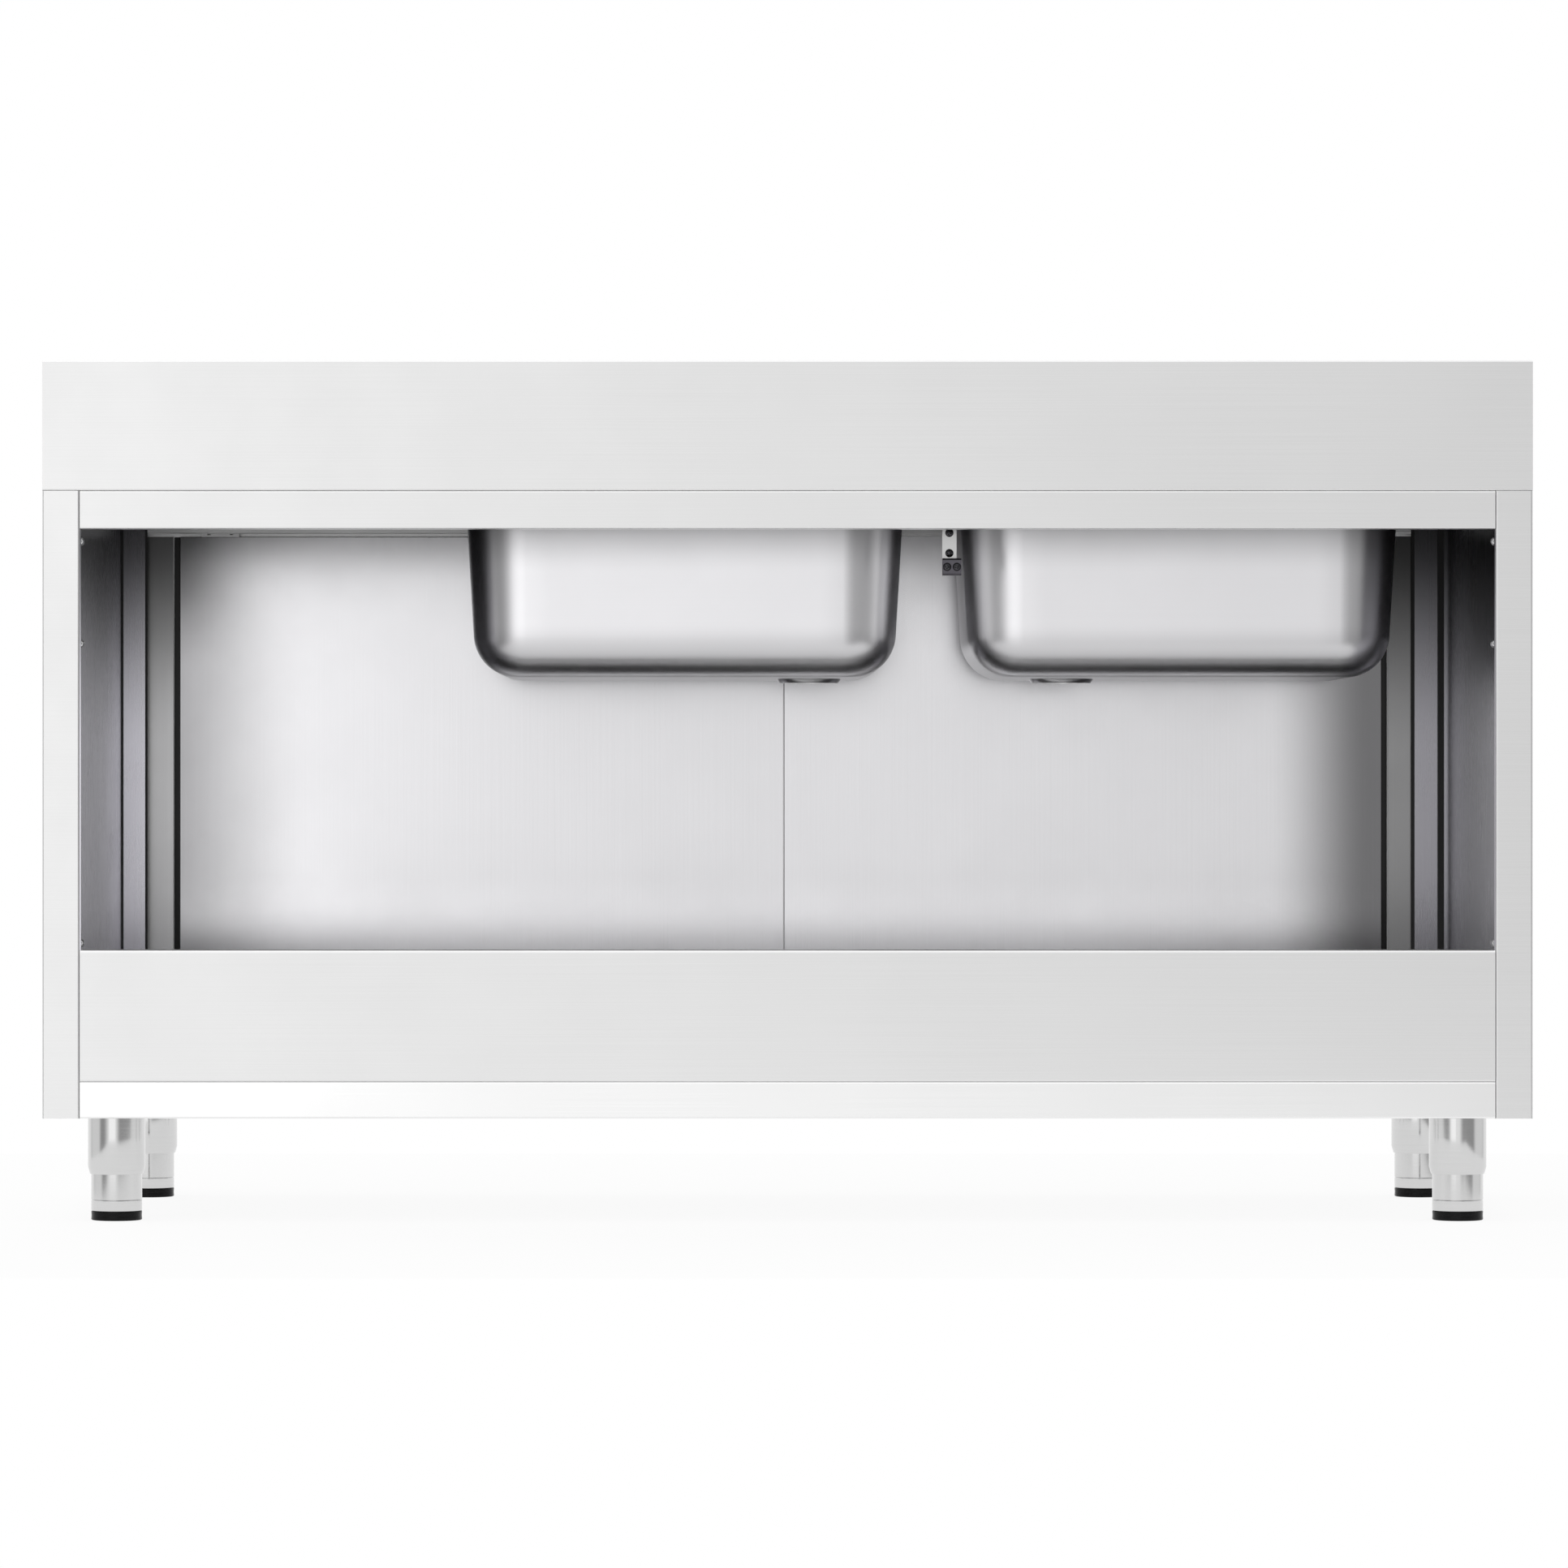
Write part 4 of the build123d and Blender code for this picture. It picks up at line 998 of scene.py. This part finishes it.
    def build_spindle(self) -> None:
        """The spindle with its thread.

        The radius at a height and an angle is the outer radius less the thread's depth
        times a triangle wave of the height over the pitch less the angle's share of a
        turn, faded out over the ends' chamfers.
        """
        name, body = f"{self.name}_threaded_spindle", f"{self.name}_foot"
        piece = Piece(name, body, "spindle_steel", self.thread, crease=60.0)
        low, top = self.spindle_levels
        height = np.linspace(low, top, self.spindle_rows)[:, None]
        turn = np.linspace(0.0, FULL_TURN, self.spindle_stations, endpoint=False)[None, :]
        phase = height / self.thread_pitch - turn / FULL_TURN
        wave = np.abs(2.0 * (phase - np.floor(phase)) - 1.0)
        fade = np.clip((height - low) / self.thread_fade, 0.0, 1.0)
        chamfer = np.clip(self.end_chamfer - (top - height), 0.0, self.end_chamfer)
        thread = self.spindle_radius - self.thread_depth * wave * fade
        radius = np.minimum(thread, self.spindle_radius - chamfer)
        pole = np.zeros_like(turn)
        radius = np.concatenate([pole, radius, pole])
        level = np.concatenate([[[low]], height, [[top]]])
        self.put(piece, spun(radius, level, turn))
        piece.finish(f"{self.name}_foot_spindle")

    def build_pad(self) -> None:
        """The moulded pad: rounded edges, a shallow waist and the spigot it turns on."""
        piece = Piece(f"{self.name}_moulded_pad", f"{self.name}_pad", "pad_plastic", self.plastic)
        radius, edge, top = self.foot_radius, self.pad_edge, self.pad_height
        spigot = self.spigot_radius
        outline = np.concatenate([
            run((0.0, 0.6), (radius - 8.0, 0.6), (radius - 7.0, 0.0)),
            arc((radius - edge, edge), edge, 270.0, 360.0, 8),
            run((radius - 0.25, 0.45 * top), (radius - 0.25, 0.6 * top)),
            arc((radius - 0.8, top - 0.8), 0.8, 0.0, 90.0, 6),
            run((spigot, top), (spigot, self.spigot_top - 0.3), (spigot - 0.3, self.spigot_top)),
            run((0.0, self.spigot_top)),
        ])
        self.put(piece, turned(outline, self.stations))
        piece.finish(f"{self.name}_foot_pad")


# ---- Rollers ----
@dataclass
class Roller:
    """A crowned nylon roller with a hub recess, on a door's hanger."""

    name: str
    x: float
    front: float
    material: Material
    level: float = 770.3
    width: float = 7.5
    bore: float = 2.55
    recess_radius: float = 4.5
    recess_floor: float = 5.1
    shoulder: float = 9.2
    crown: float = 0.3
    chamfer: float = 0.3
    tread_rows: int = 11
    stations: int = 64

    def build(self) -> None:
        """Makes the roller.

        Across the tread the radius is the shoulder's plus the crown times one less the
        square of the place across, from -1 at the front to 1 at the rear. The outline of
        radius and depth is turned about the axle, so its levels run along Y.
        """
        piece = Piece(f"{self.name}_crowned", self.name, "nylon", self.material)
        across = np.linspace(1.0, -1.0, self.tread_rows)
        half, edge = self.width / 2.0, self.shoulder - self.chamfer
        crowned = self.shoulder + self.crown * (1.0 - across**2)
        outline = np.concatenate([
            run((self.bore, 0.0), (self.bore, self.recess_floor)),
            run((self.recess_radius, self.recess_floor), (self.recess_radius, self.width)),
            run((edge, self.width)),
            np.stack([crowned, half + across * (half - self.chamfer)], axis=-1),
            run((edge, 0.0)),
        ])
        rings = turned(outline, self.stations)[..., [0, 2, 1]]
        piece.add_shell((rings + np.array([self.x, self.front, self.level])) * MM)
        piece.finish(self.name)


# ---- Studio ----
@dataclass(frozen=True)
class Softbox:
    """A flat lamp that looks at the unit."""

    name: str
    place: Vec
    width: float
    height: float
    radiance: float
    target: Vec

    def hang(self) -> None:
        """Adds the lamp, turned towards its target.

        Its power is the radiance times pi times the lamp's area.
        """
        lamp = bpy.data.lights.new(self.name, "AREA")
        lamp.shape = "RECTANGLE"
        lamp.size = self.width
        lamp.size_y = self.height
        lamp.energy = self.radiance * math.pi * self.width * self.height
        holder = stood(self.name, lamp)
        holder.location = self.place
        sight = Vector(self.target) - Vector(self.place)
        holder.rotation_euler = sight.to_track_quat("-Z", "Y").to_euler()
        holder.visible_camera = False


@dataclass
class Studio:
    """The pale floor, the plain light and the camera at the photograph's angle."""

    camera_place: Vec = (0.057, 8.3, 0.4712)
    lens: float = 171.13
    shift: float = 0.0316
    floor_reach: float = 1.2
    sweep_level: float = 1.0
    room_level: float = 1.05
    ceiling_level: float = 1.45
    flag_level: float = 0.36
    side_level: float = 0.85
    bright_way: float = 0.22
    front_ways: Pair = (-0.75, -0.25)
    aside_ways: Pair = (0.2, 0.55)
    wide_ways: Pair = (0.85, 0.97)
    rise_ways: Pair = (0.15, 0.75)
    paper_tone: float = 0.9
    glow_share: float = 0.9
    softbox: Softbox = Softbox("left_softbox", (2.2, 6.6, 1.0), 3.0, 2.8, 0.30, (0.0, 0.3, 0.45))

    def light(self) -> None:
        """Makes the sky and hangs the lamp.

        The camera sees white, and so does glass. The metal sees the white sweep behind
        the unit, and the room behind the camera, which grows lighter towards the
        ceiling and has a dimmer flag at each side of its bright middle.
        """
        world = bpy.data.worlds.new("studio_sky")
        bpy.context.scene.world = world
        board = Board("studio_sky", world)
        way = board.node("ShaderNodeTexCoord", {}, {}, "Generated")
        across, behind, up = (
            board.node("ShaderNodeSeparateXYZ", {}, {"Vector": way}, axis) for axis in "XYZ"
        )
        front = behind.between(*self.front_ways)
        aside = (across - self.bright_way).size().between(*self.aside_ways)
        wide = across.size().between(*self.wide_ways)
        flag = self.flag_level + wide * (self.side_level - self.flag_level)
        level_room = self.room_level + aside * (flag - self.room_level)
        rise = up.between(*self.rise_ways)
        room = level_room + rise * (self.ceiling_level - self.room_level)
        level = self.sweep_level + front * (room - self.sweep_level)
        plain = board.ray("Is Camera Ray", "Is Transmission Ray")
        shown = board.math("MAXIMUM", plain, board.ray("Is Glossy Ray") * (1.0 - front))
        strength = level + shown * (1.0 - level)
        sky = board.node("ShaderNodeBackground", {}, {"Color": WHITE, "Strength": strength})
        board.end(sky)
        self.softbox.hang()

    def lay_floor(self) -> None:
        """Lays a white floor that keeps the unit's shadow."""
        reach = self.floor_reach
        corners = [(-reach, -reach), (reach, -reach), (reach, reach), (-reach, reach)]
        mesh = bpy.data.meshes.new("studio_floor")
        mesh.from_pydata([(*corner, 0.0) for corner in corners], [], [(0, 1, 2, 3)])
        floor = stood("studio_floor", mesh)
        board = Board("floor_white")
        path = board.ray("Is Camera Ray", "Is Glossy Ray", "Is Transmission Ray")
        tone = self.paper_tone
        paper = board.node("ShaderNodeBsdfDiffuse", {}, {"Color": (tone, tone, tone, 1.0)})
        glow = board.node("ShaderNodeEmission", {}, {"Color": WHITE, "Strength": 1.0})
        sockets = {0: path * self.glow_share, 1: paper, 2: glow}
        mixed = board.node("ShaderNodeMixShader", {}, sockets)
        mesh.materials.append(board.end(mixed))

    def add_camera(self) -> None:
        """Places the camera behind the unit, level, at half its height."""
        camera = bpy.data.cameras.new("photo_camera")
        camera.lens = self.lens
        camera.sensor_width = 36.0
        camera.shift_x = self.shift
        camera.clip_end = 100.0
        holder = stood("photo_camera", camera)
        holder.location = self.camera_place
        holder.rotation_euler = (math.pi / 2, 0.0, math.pi)
        bpy.context.scene.camera = holder


# ---- Dressing ----
SLOT_FINISHES = {
    "worktop_steel": SatinSteel("satin_worktop"),
    "bowl_steel": SatinSteel("satin_bowl", 0.80, 0.30, Grain.CLOUDED, 0.000001, 0.02, 0.02),
    "body_steel": SatinSteel("satin_body"),
    "liner_steel": SatinSteel("satin_liner", 0.79, 0.19, Grain.ALONG_Z, FINE_LINES),
    "door_steel": SatinSteel("satin_door", grain=Grain.ALONG_Z),
    "frame_steel": SatinSteel("mill_frame", 0.68, 0.42),
    "track_steel": SatinSteel("drawn_track", 0.50, 0.30),
    "leg_steel": SatinSteel("turned_leg", 0.66, 0.12, Grain.AROUND_Z, FINE_LINES),
    "spindle_steel": PlatedMetal("zinc_plate", (0.66, 0.67, 0.69), 0.36),
    "screw_steel": PlatedMetal("polished_screw", (0.74, 0.74, 0.75), 0.22),
    "terminal_brass": PlatedMetal("dulled_clamp", (0.115, 0.11, 0.125), 0.34),
    "nylon": MouldedPlastic("off_white_nylon", (0.80, 0.78, 0.72), 0.46, 0.00001),
    "pad_plastic": MouldedPlastic("black_pad", (0.005, 0.005, 0.0055), 0.18, 0.000003, 0.12),
    # Near-black seal strips that also paint the shadow in the gaps beside the jambs and doors.
    "seal_rubber": MouldedPlastic("seal_and_gap_shadow", (0.012, 0.012, 0.012), 0.6, 0.00001),
}
DARK_SCREW = PlatedMetal("dark_plated_screw", (0.075, 0.073, 0.08), 0.20)
# Painted shade on the side liners and jambs: darker to the top and at the left end.
SIDE_STEEL = ShadePaintedSteel("shade_painted_side", 0.94, 0.26, Grain.ALONG_Z, tint=COOL)
JAMB_STEEL = ShadePaintedSteel("shade_painted_jamb", 0.76, 0.26, Grain.ALONG_Z, tint=COOL)
NODE_FINISHES = {
    "left_side_liner": SIDE_STEEL,
    "right_side_liner": SIDE_STEEL,
    "left_jamb": JAMB_STEEL,
    "right_jamb": JAMB_STEEL,
    "right_door_face": DoorSteel("right_door_satin", grain=Grain.ALONG_Z),
    "left_door_face": DoorSteel(
        "left_door_satin", grain=Grain.ALONG_Z, inner_face=-0.2420, groove=(-0.6920, -0.6840)
    ),
    # Painted shade at the door liners' edges and top corners, painted light low down.
    "right_door_liner": EdgeShadePaintedSteel("right_door_inside", 0.73, 0.19, Grain.ALONG_Z),
    "left_door_liner": EdgeShadePaintedSteel(
        "left_door_inside", 0.75, 0.19, Grain.ALONG_Z, edge_share=0.25, edge_places=(-0.55, -0.67)
    ),
    # Painted shade on the bowls' outsides.
    "left_bowl": BowlShadePaintedSteel("left_bowl_shade_painted", 0.86, 0.31, middle=-0.4295),
    "right_bowl": BowlShadePaintedSteel(
        "right_bowl_shade_painted", 0.88, 0.31, middle=0.1115, corner_shares=(1.0, 0.32)
    ),
    "bottom_shelf": SatinSteel("floor_satin", 0.88, 0.18, Grain.ALONG_X, FINE_LINES),
}


@dataclass
class FinishRack:
    """The unit's finishes, each mixed once."""

    mixed: dict[str, Material] = field(default_factory=dict)

    def take(self, finish: Any) -> Material:
        """A finish's material, mixed when it is first wanted."""
        return self.mixed.get(finish.name) or self.mixed.setdefault(finish.name, finish.build())

    def dress_nodes(self) -> None:
        """Gives every carried node its own finish, or that of its slot in the record."""
        slots = {part["node"]: part["material_slot"] for part in frame["record"]["subparts"]}
        for name, node in frame["nodes"].items():
            finish = NODE_FINISHES.get(name, SLOT_FINISHES[slots[name]])
            material = self.take(finish)
            for place in node.material_slots:
                place.material = material
            if not node.material_slots:
                node.data.materials.append(material)
            LOG.info("dressed %s in %s", name, finish.name)


def build_pieces(rack: FinishRack) -> None:
    """Builds every new piece.

    Args:
        rack: Where the pieces take their finishes.
    """
    screw, leg, spindle, pad, nylon = (
        rack.take(SLOT_FINISHES[slot])
        for slot in ("screw_steel", "leg_steel", "spindle_steel", "pad_plastic", "nylon")
    )
    for side, centre, waste in (("left", -429.5, -306.5), ("right", 111.5, -25.5)):
        outside = rack.take(NODE_FINISHES[f"{side}_bowl"])
        inside = rack.take(SLOT_FINISHES["bowl_steel"])
        PressedBowl(side, centre, waste).build(outside, inside)
    Fasteners(screw, rack.take(DARK_SCREW)).build()
    for end, y in (("front", -220.0), ("rear", 240.0)):
        for side, x in (("left", -725.0), ("right", 725.0)):
            Leg(f"{end}_{side}", x, y, leg, spindle, pad).build()
    for door in DOORS:
        for end, x in (("outer", door.outer), ("inner", door.inner)):
            Roller(f"{door.side}_door_{end}_roller", x, door.lane - ROLLER_OFFSET, nylon).build()


def main() -> None:
    """Builds the studio and every piece."""
    logging.basicConfig(level=logging.INFO, format="%(message)s")
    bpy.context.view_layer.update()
    bpy.context.scene.view_settings.view_transform = "Standard"
    studio = Studio()
    studio.add_camera()
    studio.light()
    studio.lay_floor()
    rack = FinishRack()
    build_pieces(rack)
    rack.dress_nodes()


if __name__ == "__main__":
    main()
